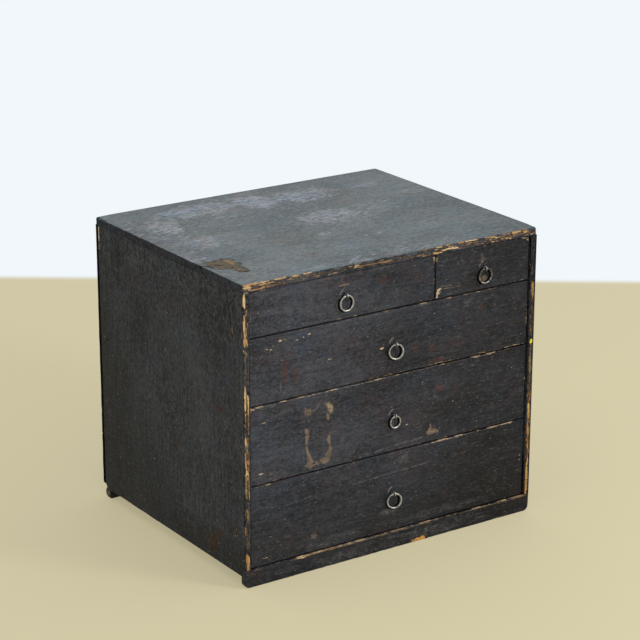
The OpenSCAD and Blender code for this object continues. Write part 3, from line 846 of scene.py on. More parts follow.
def finish_piece(name, points, faces, layers, material, body, node):
    """Makes an object of points in millimetres, hangs it on what it rides on, and hides the node that it
    stands for.
    """
    mesh = bpy.data.meshes.new(name)
    mesh.from_pydata((points * MM).tolist(), [], [tuple(int(k) for k in face) for face in faces])
    shape = bmesh.new()
    shape.from_mesh(mesh)
    bmesh.ops.recalc_face_normals(shape, faces=shape.faces)
    shape.to_mesh(mesh)
    shape.free()
    mesh.polygons.foreach_set("use_smooth", [True] * len(mesh.polygons))
    for label, values in layers.items():
        store = mesh.attributes.new(label, "FLOAT", "POINT")
        store.data.foreach_set("value", np.asarray(values, np.float32))
    mesh.materials.append(material)
    piece = bpy.data.objects.new(name, mesh)
    bpy.context.scene.collection.objects.link(piece)
    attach(piece, body)
    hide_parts(node)


def node_box(node):
    """The lowest and highest corners of a node at rest, in millimetres."""
    low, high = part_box(node)
    return np.array(low) / MM, np.array(high) / MM


def rectangle(low, high):
    return [(low[0], low[1]), (high[0], low[1]), (high[0], high[1]), (low[0], high[1])]


def paints(kind):
    """The material of one painted part of the chest, made once."""
    name = f"{kind}_worn_paint"
    if name in bpy.data.materials:
        return bpy.data.materials[name]
    colours = (bpy.context.scene.chest_paint, bpy.context.scene.chest_wood)
    if kind == "front":
        return FrontPaint(name, colours, 0.50, 0.22, greyed=0.62).made()
    if kind == "rail":
        return FrontPaint(name, colours, 0.55, 0.20, greyed=0.15, fleck=colours[0].patch).made()
    if kind == "top":
        return TopPaint(name, colours, 0.42, 0.22).made()
    return SidePaint(name, colours, 0.55, 0.14, fleck=colours[0].fleck).made()


# Marks on the boards
# Places are in millimetres from the left side of the case, from its front edge and from the
# floor. A group says what shows and then its marks: a place, two half widths and a strength, or
# for a longer mark a strength and knots with their place and half width.

LAYERS = ("bare", "dirt", "rub", "tan", "scuff", "pit", "fleck")
TOP_MARKS = (
    ("bare", (34, 36, 6, 1.6, 0.85), (38, 32, 4, 1.2, 0.7)), ("scuff", (9, 350, 9, 8, 1.15)),
    ("rub", (60, 330, 40, 18, 0.4), (300, 250, 60, 40, 0.35), (120, 200, 40, 25, 0.3)),
    ("tan", (130, 315, 90, 42, 0.9), (215, 310, 36, 53, 1.06), (290, 300, 70, 45, 0.8),
     (48, 270, 34, 50, 0.95), (262, 194, 72, 44, 0.82), (54, 184, 46, 42, 0.66), (390, 300, 31, 17, 0.56),
     (210, 130, 17, 10, 0.69), (345, 200, 53, 36, 0.5), (420, 235, 31, 22, 0.5), (350, 105, 17, 12, 0.5),
     (270, 92, 10, 5, 0.62), (90, 60, 60, 12, 0.3), (200, 260, 180, 80, 0.22)),
    ("scuff", (420, 60, 34, 50, 0.35), (0.5, (150, 60, 1.2), (188, 54, 1)), (0.5, (240, 40, 1),
     (300, 33, 1.2))),
    # Dark lines round the split place: along its rim partly a painted shadow, at the left edge dark chips in
    # the arris
    ("pit", (0.48, (9.7, 92.6, 4.2), (7.7, 82.4, 3.4), (8.8, 74.6, 2.7), (16.3, 71.1, 2.1),
     (24, 64.4, 2.3), (25.9, 57.7, 3), (31.4, 51, 2.8), (40.3, 50, 4.2)), (0.54, (-2.3, 100.7, 3),
     (2.4, 93.5, 2.7), (7.9, 90.8, 4.6))), ("scuff", (1.3, (2.4, 84, 1.7), (2.2, 44, 1.3))),
    ("tan", (12, 262, 30, 100, 0.42), (12, 130, 26, 50, 0.5), (200, 14, 190, 22, 0.45)),
)
# The front edge of the top board
TOP_EDGE = (
    ("bare", (0.44, (0, 394.6, 5.4), (70, 394.8, 5)), (0.36, (70, 394.8, 5), (286, 394.6, 5)),
     (0.42, (286, 394.6, 5), (452, 394.6, 5)), (0.98, (3, 396, 3), (8, 396.5, 4.4), (11, 394, 3)),
     (0.9, (1.5, 399, 1.4), (12, 399.3, 1.6), (24, 399.2, 1.4), (38, 399.5, 1)), (0.75, (18, 397.2, 0.9),
     (32, 396.6, 0.9)), (0.8, (12, 391.2, 0.9), (24, 391.4, 1.1), (38, 392.2, 0.9))),
    ("dirt", (0.8, (15, 394.6, 2), (22, 394.2, 1.6))),
    ("bare", (0.9, (46, 399.6, 1), (54, 399, 1.8), (63, 399.6, 0.9)), (0.9, (70, 399.4, 1.1),
     (76, 398.9, 1.9), (83, 398.6, 1.1)), (0.9, (88, 398.8, 1.1), (93, 399, 1.8), (100, 399.4, 1)),
     (0.62, (88, 392.6, 1), (96, 393.4, 1)), (0.55, (103, 392.6, 0.8), (112, 393, 0.8)),
     (0.58, (126, 392.4, 0.8), (151, 393.4, 0.8)), (0.64, (163, 394.4, 0.9), (170, 394.2, 1.1),
     (176, 393.2, 0.8)), (0.68, (183, 394.6, 0.9), (204, 394.2, 1.1), (214, 394.2, 1.2),
     (224, 394.6, 0.9))),
    ("scuff", (0.8, (183, 398.6, 1.2), (193, 398, 1.2)), (0.6, (120, 399.4, 1), (285, 399.4, 1))),
    ("bare", (0.5, (228, 393, 1.2), (232, 394, 1.2)), (0.55, (270, 390.9, 0.9), (285, 391, 0.9)),
     (0.78, (288, 391.2, 1.6), (296, 391.6, 1.8), (301, 391.2, 1.1)), (0.88, (302, 393.4, 1.2),
     (310, 394.4, 1.7), (320, 394.4, 1.8), (326, 393.2, 1.2)), (0.84, (327, 399.2, 1.1),
     (334, 399.2, 1.6), (342, 399.4, 1)), (0.68, (290, 398.9, 1), (300, 398.7, 1.1)),
     (0.86, (343, 399.6, 1.1), (350, 399.4, 1.3), (358, 398.8, 1)), (0.7, (369, 399.4, 1),
     (378, 399.2, 1)), (0.82, (379, 398.6, 1.3), (388, 397.4, 1.5)), (0.58, (362, 392.2, 0.8),
     (385, 391.6, 0.9)), (0.78, (395, 393.6, 1.1), (401, 393, 1.4), (412, 391.6, 1.1)),
     (0.74, (401, 397.4, 1), (404, 398.8, 1), (410, 398.4, 1)), (0.96, (414, 399.2, 1.4), (421, 398, 2.7),
     (428, 399.2, 1.4)), (0.72, (416, 394.4, 1), (420, 395.5, 1)), (0.8, (432, 397.4, 1.1),
     (438, 397.8, 1.5)), (0.62, (440, 393, 1.3), (449, 391.4, 1.1))),
    ("dirt", (0.22, (0, 394.5, 1.5), (455, 394.5, 1.5))),
)
LEFT_MARKS = (
    ("bare", (0.56, (35.5, 378, 0.8), (31, 360, 1), (28, 349, 0.9)), (0.8, (26.6, 343, 1), (25.4, 338, 2),
     (24.4, 333, 1.1))),
    ("pit", (0.62, (38.6, 388, 1), (35.4, 376, 1.3), (32.6, 366, 1), (30.6, 356, 1.4), (27.4, 346, 1.1),
     (26.4, 334, 1.5), (23.8, 329, 1.2), (22.8, 320, 0.9))), ("rub", (30, 352, 9, 30, 0.5)),
    ("dirt", (30, 354, 10, 16, 0.4)), ("pit", (0.6, (42, 366, 0.9), (38, 350, 1))),
    ("bare", (1.95, (355.2, 388, 0.8), (355.6, 382, 1.6), (355.2, 378.5, 0.8)),
     (1.95, (355.4, 375.5, 0.8), (355.8, 372, 1.4), (355.4, 369.5, 0.7)), (1.95, (356, 366, 0.7),
     (355.8, 361, 1.2), (356, 356, 0.7))),
    ("rub", (55, 226, 14, 6, 0.9), (100, 228, 18, 9, 0.6), (76, 36, 17, 17, 1), (62, 54, 12, 12, 0.85),
     (20, 73, 10, 9, 0.8), (27, 193, 9, 8, 0.6), (300, 105, 20, 8, 0.5), (20, 78, 12, 14, 0.7),
     (58, 150, 10, 12, 0.5), (150, 330, 60, 16, 0.5), (250, 345, 40, 18, 0.5)),
    ("bare", (62, 41, 2.2, 1.4, 0.6), (97, 45, 2, 1.4, 0.5)), ("pit", (341, 234.5, 3.2, 1.7, 1)),
    ("tan", (348, 237, 4.5, 2.2, 0.5)), ("pit", (335, 238, 1.2, 0.8, 0.8)),
    ("scuff", (0.5, (302, 292, 1.6), (301, 240, 1.3), (302, 188, 1.4)), (310, 340, 5, 3, 0.7),
     (170, 186, 4, 4, 0.6), (110, 60, 90, 44, 0.2), (170, 370, 150, 14, 0.22)),
    ("pit", (190, 374, 12, 1.6, 0.42), (120, 352, 16, 1.4, 0.4), (210, 351, 14, 1.6, 0.42),
     (258, 340, 9, 1.8, 0.4)), ("scuff", (0.4, (10, 204, 0.9), (150, 207, 0.9))),
)
# The front edge of the left panel
LEFT_EDGE = (
    ("bare", (0.42, (4.6, 318, 4.6), (4.6, 272, 4.6)), (0.46, (5, 240, 4.4), (5, 160, 4.4)),
     (0.52, (5, 158, 4.6), (5, 122, 4.6)), (0.42, (4.8, 118, 4.6), (4.8, 26, 4.6)), (0.4, (6, 372, 3.4),
     (6, 320, 3.4))), ("dirt", (0.6, (5, 318, 5), (5, 272, 5))),
    ("bare", (0.82, (7, 389.4, 1.5), (4, 389, 1.8), (2.2, 388.2, 1.4)), (0.98, (2, 387, 1.4),
     (2.2, 381, 2.9), (2.4, 375, 2.5), (3.4, 370.5, 0.9)), (0.88, (1.8, 362, 1.1), (2.2, 352, 1.8),
     (2.6, 342, 2.1), (3.2, 333, 2.6), (3.4, 325, 3.7), (3.2, 322, 2)), (0.75, (3.4, 356, 0.8),
     (4.2, 345, 1)), (0.75, (5.5, 331, 1.7), (6, 326, 1.6), (6.4, 322, 0.9)), (0.98, (0.8, 317.5, 1.1),
     (3, 314.5, 2.4), (5.6, 312, 2.2), (5, 308.5, 1.1)), (0.96, (2.8, 273, 1), (2.8, 265, 2),
     (3.2, 255, 2.5), (3, 246, 2.4), (3, 240, 1.5)), (0.92, (6.2, 259, 1), (6.9, 254, 1.8), (7, 244, 1.8),
     (7.2, 236, 1.1), (7.3, 224, 1), (7.3, 208, 1.1))), ("dirt", (0.7, (5.2, 263, 1), (5.3, 240, 0.9))),
    ("bare", (0.74, (2.8, 235, 1), (3, 224, 1.2)), (0.8, (2.3, 222, 1.3), (2.6, 218, 1.3)),
     (0.72, (2.4, 211.5, 1.1), (2.6, 208, 1)), (0.98, (3, 205, 1), (3, 199, 2.5), (3.4, 192.5, 2.1)),
     (0.86, (2.2, 182, 1.4), (2.6, 175, 1.3), (3.2, 168, 2), (3.4, 163, 1.3)), (0.68, (7, 184, 1),
     (7.3, 175, 0.9), (7.3, 167, 0.9)), (0.92, (4, 160, 1.8), (4.6, 156, 3.3), (4.8, 151, 3.9),
     (3, 146, 2.2), (3, 138, 2.1), (3.3, 130, 1.9), (3.4, 124.5, 1.3)), (0.82, (7, 151, 1.5),
     (7.2, 144, 1.4), (7.4, 134, 1), (7.6, 121, 0.9)), (0.86, (1.6, 84.5, 1.5), (2.2, 78, 2.2),
     (2.4, 74, 1.1)), (0.58, (6.8, 73, 0.9), (7.2, 62, 1), (6.9, 54, 0.8)), (0.54, (2.2, 70, 0.8),
     (2.4, 51, 0.9))), ("dirt", (0.45, (4.5, 150, 5), (4.5, 120, 5))),
    ("bare", (0.98, (3, 47, 1.8), (4.6, 42, 4), (5, 36, 3.6), (5, 30, 2.3), (4.4, 25, 1.3))),
    ("scuff", (0.7, (2.4, 305, 0.8), (2.2, 275, 0.8)), (0.7, (7.6, 318, 0.8), (7.6, 272, 0.8)),
     (0.7, (3, 120, 0.8), (2.8, 86, 0.8)), (0.7, (6.9, 112, 0.9), (7.1, 88, 0.9))),
    ("dirt", (0.5, (4.5, 230, 5), (4.5, 206, 5)), (0.5, (4.5, 84, 5), (4.5, 50, 5))),
)
RIGHT_MARKS = (
    ("rub", (200, 200, 80, 60, 0.4), (80, 90, 30, 24, 0.7), (280, 300, 40, 20, 0.6)),
    ("bare", (120, 260, 6, 1.5, 0.6)), ("scuff", (180, 120, 90, 50, 0.25), (60, 300, 30, 50, 0.25)),
)
# The front edge of the right panel
RIGHT_EDGE = (
    ("bare", (0.42, (450.4, 330, 4), (450.4, 244, 4)), (0.46, (450.4, 238, 4.4), (450.4, 30, 4.4))),
    ("tan", (0.4, (449.5, 350, 1), (449.5, 338, 1.4))), ("dirt", (0.5, (450, 380, 4), (450, 330, 4))),
    ("bare", (0.7, (450.6, 326, 1.6), (451, 318, 2.7), (451.6, 311, 2.3), (451.4, 304, 1.1))),
    ("scuff", (0.7, (451.4, 268, 0.8), (451.6, 250, 0.9))),
    ("bare", (0.72, (450.6, 238, 1.3), (451, 226, 1.7)), (0.75, (450.4, 224, 2.5), (450.2, 216, 3.1),
     (450.8, 206, 2.9), (450.4, 200, 1.7)), (0.66, (450.2, 198, 1.3), (450.2, 190, 1.6),
     (449.4, 184, 0.9), (450.6, 176, 1)), (0.75, (450.2, 154, 2.1), (450.2, 146, 3.1), (450.6, 138, 3.2),
     (451.2, 134, 1.7)), (0.74, (449.4, 128, 1.6), (449.8, 120, 2.7), (450.4, 112, 2.3),
     (451.2, 107, 1.1)), (0.66, (450.2, 104, 1.4), (450.4, 92, 1.6)), (0.62, (450.4, 90, 1),
     (450.4, 84, 1)), (0.66, (451, 82, 1.1), (451.2, 72, 1.5)), (0.79, (450.4, 70, 2.4), (450.2, 56, 2.9),
     (450, 40, 2.8), (450, 26, 2.3))),
    ("dirt", (0.6, (447, 66, 1.2), (454, 64, 1.2)), (0.5, (447, 46, 1), (454, 44, 1)),
     (0.55, (450, 236, 4), (450, 176, 4))), ("fleck", (1, (451.2, 244.6, 2.4), (450.6, 242.2, 2.8))),
    ("pit", (1, (447.4, 388.8, 1.3), (447.6, 387.6, 1.3))),
)
BACK_MARKS = (
    ("arris", (0, 365, 4, 24, 0.75)), ("rub", (120, 300, 60, 30, 0.6), (330, 140, 70, 40, 0.6)),
    ("bare", (300, 220, 10, 1.6, 0.6), (180, 90, 14, 1.4, 0.55)), ("arris", (200, 27, 150, 4, 0.2)),
    ("scuff", (230, 180, 160, 90, 0.22)), ("pit", (96, 210, 1.4, 1.4, 0.9), (372, 318, 1.2, 1.2, 0.9)),
)
RAIL_MARKS = (
    ("arris", (86, 24.4, 14, 4, 1), (125, 24.4, 36, 4, 0.9), (170, 24.4, 24, 4, 1),
     (225, 24.4, 50, 4, 0.85), (285, 24.4, 24, 4, 0.7), (330, 24.4, 26, 4, 0.55),
     (374, 24.4, 20, 4, 0.85), (425, 24.4, 34, 4, 0.8)),
    ("bare", (0.92, (80, 23, 1), (87, 22.4, 1.8), (96, 23.4, 1.1)), (0.6, (96, 23.6, 0.9),
     (262, 23.4, 0.9))),
    ("scuff", (0.95, (96, 23.2, 1.5), (260, 23, 1.7), (300, 23.2, 1.3)), (0.9, (355, 22.8, 1.5),
     (450, 23, 1.5))), ("dirt", (0.3, (100, 24, 3), (450, 24, 3))), ("bare", (263, 1, 9, 6.4, 0.66)),
    ("fleck", (268, 1, 9, 5.4, 0.95), (276, 1.6, 6, 6, 1)), ("dirt", (261, 5, 4, 2.4, 0.5)),
    ("bare", (279.5, 3, 2, 5, 0.72)), ("scuff", (0.9, (266, 20, 0.9), (265, 12, 0.9), (267, 7, 0.9))),
    ("tan", (60, 9, 30, 1.2, 0.35), (180, 15, 40, 1, 0.35)), ("rub", (350, 12, 40, 6, 0.4)),
    ("scuff", (230, 11, 220, 12, 0.42), (282, 14, 2.4, 1.8, 0.9), (366, 14, 1.6, 4, 0.7)),
)
FRONT_MARKS = {
    "top_left_drawer": (
        ("tan", (151, 373.6, 12, 2.2, 0.8)), ("rub", (150, 376, 20, 5, 0.5), (211, 370, 12, 8, 0.7)),
        ("bare", (24, 360, 1.4, 1.6, 0.7), (30, 336, 1.6, 1.2, 0.6)),
        ("arris", (28, 389, 20, 2, 0.5), (143, 329.6, 8, 2, 0.75), (168, 329.6, 5, 2, 0.85),
         (284, 329.6, 7, 2, 0.55)), ("bare", (11.6, 353, 1.6, 5, 0.6)), ("scuff", (12, 350, 3, 22, 0.6)),
        ("rub", (179, 358, 10, 5, 0.45)), ("arris", (290, 384, 3, 5, 0.7)),
        ("scuff", (170, 386, 120, 4, 0.35), (70, 350, 40, 24, 0.2)),
    ),
    "top_right_drawer": (
        ("tan", (371.2, 344.2, 6, 4.6, 1.2), (367, 370, 11, 4, 0.44)),
        ("bare", (0.74, (432, 388.6, 1.1), (440, 387, 2.4), (444, 383, 2.3), (444.8, 376, 1.1))),
        ("pit", (417.5, 388.4, 1.6, 1.3, 0.9)),
        ("bare", (0.88, (294.6, 331, 1.8), (295.4, 336, 2.2), (297, 340.6, 3), (300.5, 342.2, 1.8)),
         (0.74, (302, 338.6, 1.4), (298, 336.4, 1.8)), (0.62, (303, 341.4, 1), (318, 341, 0.8),
         (334, 340.6, 0.7))), ("dirt", (0.5, (301, 338, 4), (326, 341, 2))),
        ("tan", (0.48, (302, 345, 1.6), (318, 344, 1.4))), ("arris", (293.5, 383, 3, 6, 0.7)),
        ("rub", (420, 345, 14, 10, 0.4)), ("bare", (302, 373, 2.5, 1, 0.6)),
        ("scuff", (367, 374, 5, 9, 0.5), (432, 352, 9, 10, 0.35)), ("arris", (294, 358, 3, 10, 0.35)),
    ),
    "second_drawer": (
        ("bare", (55.7, 318.9, 4.6, 1.9, 0.95), (62, 319, 5, 1.5, 0.72), (36, 311.6, 3.6, 1.2, 0.72),
         (42, 309.8, 3.4, 1, 0.62), (44.6, 314, 2.6, 1.2, 0.7), (80, 315, 3, 1.6, 0.7),
         (90, 317.2, 2, 1.9, 0.74), (98.4, 319.3, 3.8, 1.9, 0.95)), ("dirt", (62, 318, 6, 3, 0.5)),
        ("bare", (129, 280.6, 5.4, 1, 0.7), (209, 279, 5, 2.4, 0.82)),
        ("rub", (261, 268, 8, 9, 0.7), (289, 265, 12, 8, 0.65), (296, 247, 26, 5, 0.7),
         (367, 306, 4, 7, 0.8)),
        ("bare", (390, 305, 1.8, 0.9, 0.7), (414, 306.5, 2.4, 1, 0.7), (145, 256.5, 1.6, 1, 0.7)),
        ("rub", (128, 290, 10, 8, 0.4), (330, 262, 24, 8, 0.45), (225, 285, 8, 8, 0.5),
         (62, 278, 9, 30, 0.72), (78, 268, 10, 18, 0.62), (70, 301, 13, 6, 0.55), (66, 282, 11, 16, 0.5),
         (76, 262, 9, 12, 0.5)),
        ("scuff", (0.8, (55.6, 264, 1.2), (55.6, 258, 1.6), (57, 252, 1.5), (62, 249.4, 1.2)),
         (72, 272, 3, 3, 0.5), (0.5, (250, 256, 0.8), (290, 262, 0.8)), (71.5, 254.5, 1.6, 1.4, 0.9)),
        ("arris", (300, 240.8, 70, 2, 0.52), (400, 240.8, 50, 2, 0.62), (200, 240.8, 40, 2, 0.45),
         (18, 240.8, 12, 2, 0.6), (274, 328, 14, 2, 0.6), (318, 328, 10, 2, 0.45), (370, 328, 20, 2, 0.38)),
        ("scuff", (230, 326, 210, 3, 0.45), (360, 318, 70, 8, 0.3)),
    ),
    "third_drawer": (
        ("tan", (96.7, 216.4, 7, 6.4, 1)), ("bare", (96.2, 215.6, 4.4, 3.2, 0.7)),
        ("dirt", (96, 215, 6, 6, 0.6)),
        ("tan", (0.8, (92, 223.4, 1.2), (94.5, 220, 2.4)), (0.62, (101, 216.4, 1.6), (106, 217.4, 1.2),
         (110, 219.6, 1.3), (113, 224, 0.9))), ("scuff", (98.4, 204.4, 2.6, 2.6, 0.9)),
        ("tan", (98, 204.6, 2, 1.8, 0.5)), ("scuff", (86.6, 192.4, 1.6, 1.6, 1)),
        ("tan", (0.82, (93.5, 193.6, 2.6), (95.5, 189, 4.6), (95.4, 183, 3.8), (94, 177, 2.4),
         (94.6, 170, 2.2), (96, 163, 2.4), (98, 158, 3.6), (99.4, 151, 5.6), (99.6, 145.6, 6.8)),
         (0.7, (92.6, 145, 2), (99, 143.4, 2), (107, 144, 1.8))),
        ("scuff", (0.75, (101, 153, 0.9), (108, 146.4, 1.2), (114, 140.8, 0.9))),
        ("tan", (0.66, (109, 146.4, 2.2), (113, 143.6, 1.6)), (0.66, (116, 147.4, 2.6),
         (119, 150.2, 2.8)), (0.88, (121, 146, 5.2), (126, 147.6, 5.6), (127, 153, 6.6),
         (130.4, 157, 4.4), (130.8, 162, 3.4)), (0.8, (130.6, 164, 2), (129, 169, 2.4), (127.8, 174, 3.6),
         (129.4, 180, 1.9), (129.6, 184, 1)), (127.2, 193.4, 2.4, 2.6, 0.62)),
        ("rub", (121, 192, 4, 5, 0.6)),
        ("tan", (1, (123.4, 223, 2.6), (127, 221.6, 4.4), (130.4, 216, 6.2), (131.6, 211, 4.6)),
         (0.95, (126, 208, 2.8), (127.4, 204, 3.4), (127.4, 200.6, 2.2))),
        ("bare", (0.8, (126, 222, 3), (130.6, 216, 5.4), (131.4, 211, 4)), (0.68, (127, 206, 3.2),
         (127.4, 202, 2.2))), ("dirt", (0.34, (128, 223, 9), (128, 198, 9))),
        ("rub", (136, 222, 3, 5, 0.6)),
        ("tan", (0.84, (288, 159.5, 1.2), (288.4, 154, 3), (285, 149, 4.6), (294, 149.4, 4.6),
         (300, 147.6, 2.4))), ("bare", (0.74, (287.6, 155, 1.4), (285.6, 149.4, 3.2), (295, 149, 3.2))),
        ("dirt", (0.36, (282, 152, 10), (298, 150, 10))), ("rub", (290, 151, 12, 9, 0.8)),
        ("bare", (31, 216.4, 6.5, 1.3, 0.72), (26, 149.4, 5.4, 1.8, 0.9), (40, 147, 3, 1, 0.6)),
        ("rub", (300, 207, 13, 9, 0.75), (328, 200, 9, 8, 0.6), (412, 195, 5, 4, 0.8),
         (161, 156, 6, 5, 0.7)), ("bare", (250, 167.6, 2.6, 0.9, 0.6)),
        ("scuff", (0.8, (200, 140, 1.4), (232, 143, 1.4), (275, 144.4, 1.3))),
        ("rub", (190, 205, 44, 26, 0.42), (230, 190, 60, 30, 0.36), (390, 160, 26, 14, 0.35)),
        ("scuff", (62, 226, 16, 7, 0.5), (356, 226, 5, 5, 0.5), (0.7, (366, 199, 0.8), (372, 198, 0.8))),
        ("bare", (0.92, (12, 237.2, 1.6), (17, 236.6, 1.4)), (0.8, (20, 238, 1.2), (25, 238, 1.2))),
        ("arris", (30, 239.2, 20, 2, 0.72), (60, 239.2, 6, 2, 0.9), (87, 239.2, 7, 2, 0.85),
         (106, 239.2, 5, 2, 0.55), (130, 239.2, 22, 2, 0.32), (205, 239.2, 14, 2, 0.62),
         (245, 239.2, 20, 2, 0.5), (300, 239.2, 40, 2, 0.45), (360, 239.2, 10, 2, 0.7),
         (385, 239.2, 10, 2, 0.8), (420, 239.2, 24, 2, 0.5)),
        ("scuff", (0.75, (10, 238, 1.2), (300, 238.4, 1)), (0.98, (84, 238.6, 1.3), (200, 238.6, 1.3)),
         (45, 236, 6, 2.4, 0.9)), ("arris", (27, 135.8, 9, 2, 0.9), (46, 135.8, 8, 2, 0.5)),
        ("bare", (0.62, (20, 137, 0.9), (34, 135.6, 1)), (0.6, (68, 136.4, 1.2), (71, 135.4, 1))),
        ("scuff", (0.6, (58, 137, 1.2), (70, 135.6, 1.2)), (0.5, (100, 138, 1.2), (118, 137, 1.2))),
        ("rub", (60, 138, 30, 3, 0.5)), ("scuff", (177, 138, 4, 2.4, 0.7), (40, 146, 18, 5, 0.45)),
    ),
    "bottom_drawer": (
        ("tan", (106, 48.5, 8, 6.5, 0.56), (105, 44, 6, 3, 0.52)),
        ("bare", (62, 80.4, 4.2, 0.9, 0.62), (34, 34.6, 15, 0.9, 0.68)), ("tan", (218, 54, 14, 5, 0.36)),
        ("bare", (439, 76.5, 1.6, 1.8, 0.6), (0.9, (296, 133, 0.9), (308, 133.2, 1.3), (320, 133, 1))),
        ("arris", (308, 134.2, 14, 2, 0.9), (336, 134.2, 14, 2, 0.6), (366, 134.2, 6, 2, 0.5),
         (390, 134.2, 10, 2, 0.86), (412, 134.2, 18, 2, 0.74)),
        ("scuff", (0.7, (320, 132.8, 1.2), (348, 132.8, 1.2)), (348, 130, 4, 3, 0.5)),
        ("rub", (220, 84, 16, 8, 0.4), (80, 110, 26, 10, 0.35)),
        ("scuff", (300, 36, 130, 9, 0.42), (380, 58, 50, 24, 0.2), (130, 34, 90, 10, 0.4)),
        ("rub", (300, 40, 30, 10, 0.35)),
        ("scuff", (0.8, (165, 103.5, 1), (230, 105.5, 1.1), (285, 107, 1)), (0.6, (40, 96, 0.9),
         (110, 103, 0.9)), (245, 122, 12, 10, 0.5), (0.6, (232, 112, 0.9), (252, 128, 0.9))),
        ("bare", (364, 112, 2.4, 0.9, 0.6)),
        ("scuff", (225, 52, 22, 6, 0.6), (0.6, (330, 106, 0.9), (372, 113, 0.9))),
        ("arris", (120, 25.2, 60, 2, 0.3)),
    ),
}
# How deep the split place in the top is, in millimetres
BED_DEPTH = 1.1
# The radius and depth of the hole round a pin, and an old hole in the top left drawer by its
# place on the front, its height, radius and depth
PIN_HOLE = (1.62, 4.0)
OLD_HOLE = (186.0, 377.4, 1.3, 3.0)
# How far each ring is polished, where it isn't 0.5
RING_POLISH = {"top_right_drawer": -0.15, "third_drawer": 0.38}
# How much each ring is turned to its left, in degrees
RING_TURNS = {"second_drawer": -13, "bottom_drawer": -13}


def moved(groups, across=0.0, along=0.0):
    """The marks of some groups, each with what it shows and moved over the face."""
    marks = []
    for kind, *group in groups:
        for first, *rest in group:
            if isinstance(rest[0], tuple):
                marks.append((kind, first, *((u + across, v + along, half) for u, v, half in rest)))
            else:
                marks.append((kind, first + across, rest[0] + along, *rest[1:]))
    return marks


def circle(u, v, radius, half, angles):
    """The knots of a curved mark, with one half width."""
    return [(u + radius * math.cos(angle), v + radius * math.sin(angle), half) for angle in angles]


def peg_places(low, high, margin, count):
    return [low + margin + (high - low - 2 * margin) * k / (count - 1) for k in range(count)]


# Operators


class CHEST_OT_top_board(bpy.types.Operator):
    """Build the top board, with its chipped corner, bloom and worn front arrises"""
    bl_idname = "chest.top_board"
    bl_label = "Top board"

    def execute(self, context):
        low, high = node_box("top_board")
        noise = Lattice(77)

        def hollow(flat):
            """The old break near the left side: a shallow bed where the wood has split off."""
            spot = flat - [low[0], low[1]]
            ragged = (noise(np.c_[flat, np.zeros(len(flat))], 9) - 0.5) * 0.7
            ragged += (noise(np.c_[flat, np.ones(len(flat))], 2.6) - 0.5) * 0.3
            bed = np.minimum(np.hypot((spot[:, 0] - 29) / 21, (spot[:, 1] - 88) / 25),
                             np.hypot((spot[:, 0] - 36) / 9, (spot[:, 1] - 58) / 17))
            return BED_DEPTH * np.clip((1 - bed - ragged) * 5, 0, 1)

        def rounder(line):
            """Two corners are the most worn: the right one in front and the left one behind."""
            gap = np.minimum(np.hypot(line[:, 0] - high[0], line[:, 1] - low[1]),
                             np.hypot(line[:, 0] - low[0], line[:, 1] - high[1]))
            return 1 + 1.6 * np.clip(1.6 - gap / 14, 0, 1)

        def split(points, edges, layers):
            """Bare, blackened wood in the bed of the break."""
            layers["inside"] *= np.clip(edges / 0.9, 0, 1)
            sunk = (points[:, 2] > high[2] - 4) * hollow(points[:, :2]) / BED_DEPTH
            for name, amount in (
                ("bare", sunk), ("dirt", sunk * (0.30 + 1.1 * noise(points, 11))),
                ("pit", sunk * (noise(points, 7) - 0.42)),
            ):
                layers[name] = np.maximum(layers[name], amount)

        pegs = [(x, y) for x in peg_lines(low, high) for y in peg_places(low[1], high[1] - 7, 30, 5)]
        board = Board(
            "z", rectangle(low, high), (3, 3.5, 3, 3.2), (low[2], high[2]), 1, (0.14, 1.2), 11,
            context.scene.chest_wear, rows=8, paint_depth=9.7, pegs=pegs,
            marks=moved(TOP_MARKS, low[0], low[1]), front_marks=moved(TOP_EDGE, low[0]),
            wave=lambda line: np.where(np.abs(line[:, 0]) > high[0] - 5, 0.06, 0.55),
            worn=0.05, chips=1.2, hollow=hollow, fine=[(low[0] + 24, low[1] + 82, 32, 46, 0.9)],
            step=0.7, snug=rounder,
        )
        board.build("worn_top", paints("top"), "case", "top_board", split)
        return {"FINISHED"}


def peg_lines(low, high, inset=3.25):
    """Where the rows of pegs run, counted across the case."""
    return (low[0] + inset, high[0] - inset)


class CHEST_OT_side_panels(bpy.types.Operator):
    """Build the two side panels, with their worn front edges and notched feet"""
    bl_idname = "chest.side_panels"
    bl_label = "Side panels"

    def execute(self, context):
        rail_high = node_box("front_rail")[1]
        left = node_box("left_panel")[0][0]
        for side, marks, edge, outer, seed in (
            ("left", LEFT_MARKS, LEFT_EDGE, 0, 21), ("right", RIGHT_MARKS, RIGHT_EDGE, 1, 22)
        ):
            low, high = node_box(f"{side}_panel")
            foot = low[2] + 0.12
            corners = [
                (rail_high[1], foot), (high[1], foot), (high[1], high[2]), (low[1], high[2]),
                (low[1], rail_high[2]), (rail_high[1], rail_high[2]),
            ]
            eases = (1.4, 0.7) if outer == 0 else (0.7, 1.4)
            board = Board(
                "x", corners, (0.6, 8, 0.6, 0.7, 0.6, 0), (low[0], high[0]), outer, eases, seed,
                context.scene.chest_wear, rows=9, wave=0.25, paint_depth=9.2,
                marks=moved(marks, low[1]), front_marks=moved(edge, left), worn=0.0, step=0.7,
                snug=lambda line: np.where(
                    line[:, 1] > high[2] - 1, 0.12,
                    1 + outer * (line[:, 0] < low[1] + 3) * np.clip((line[:, 1] - high[2] + 60) / 40, 0, 1),
                ),
            )
            board.build(f"worn_{side}_panel", paints("side"), "case", f"{side}_panel")
        return {"FINISHED"}


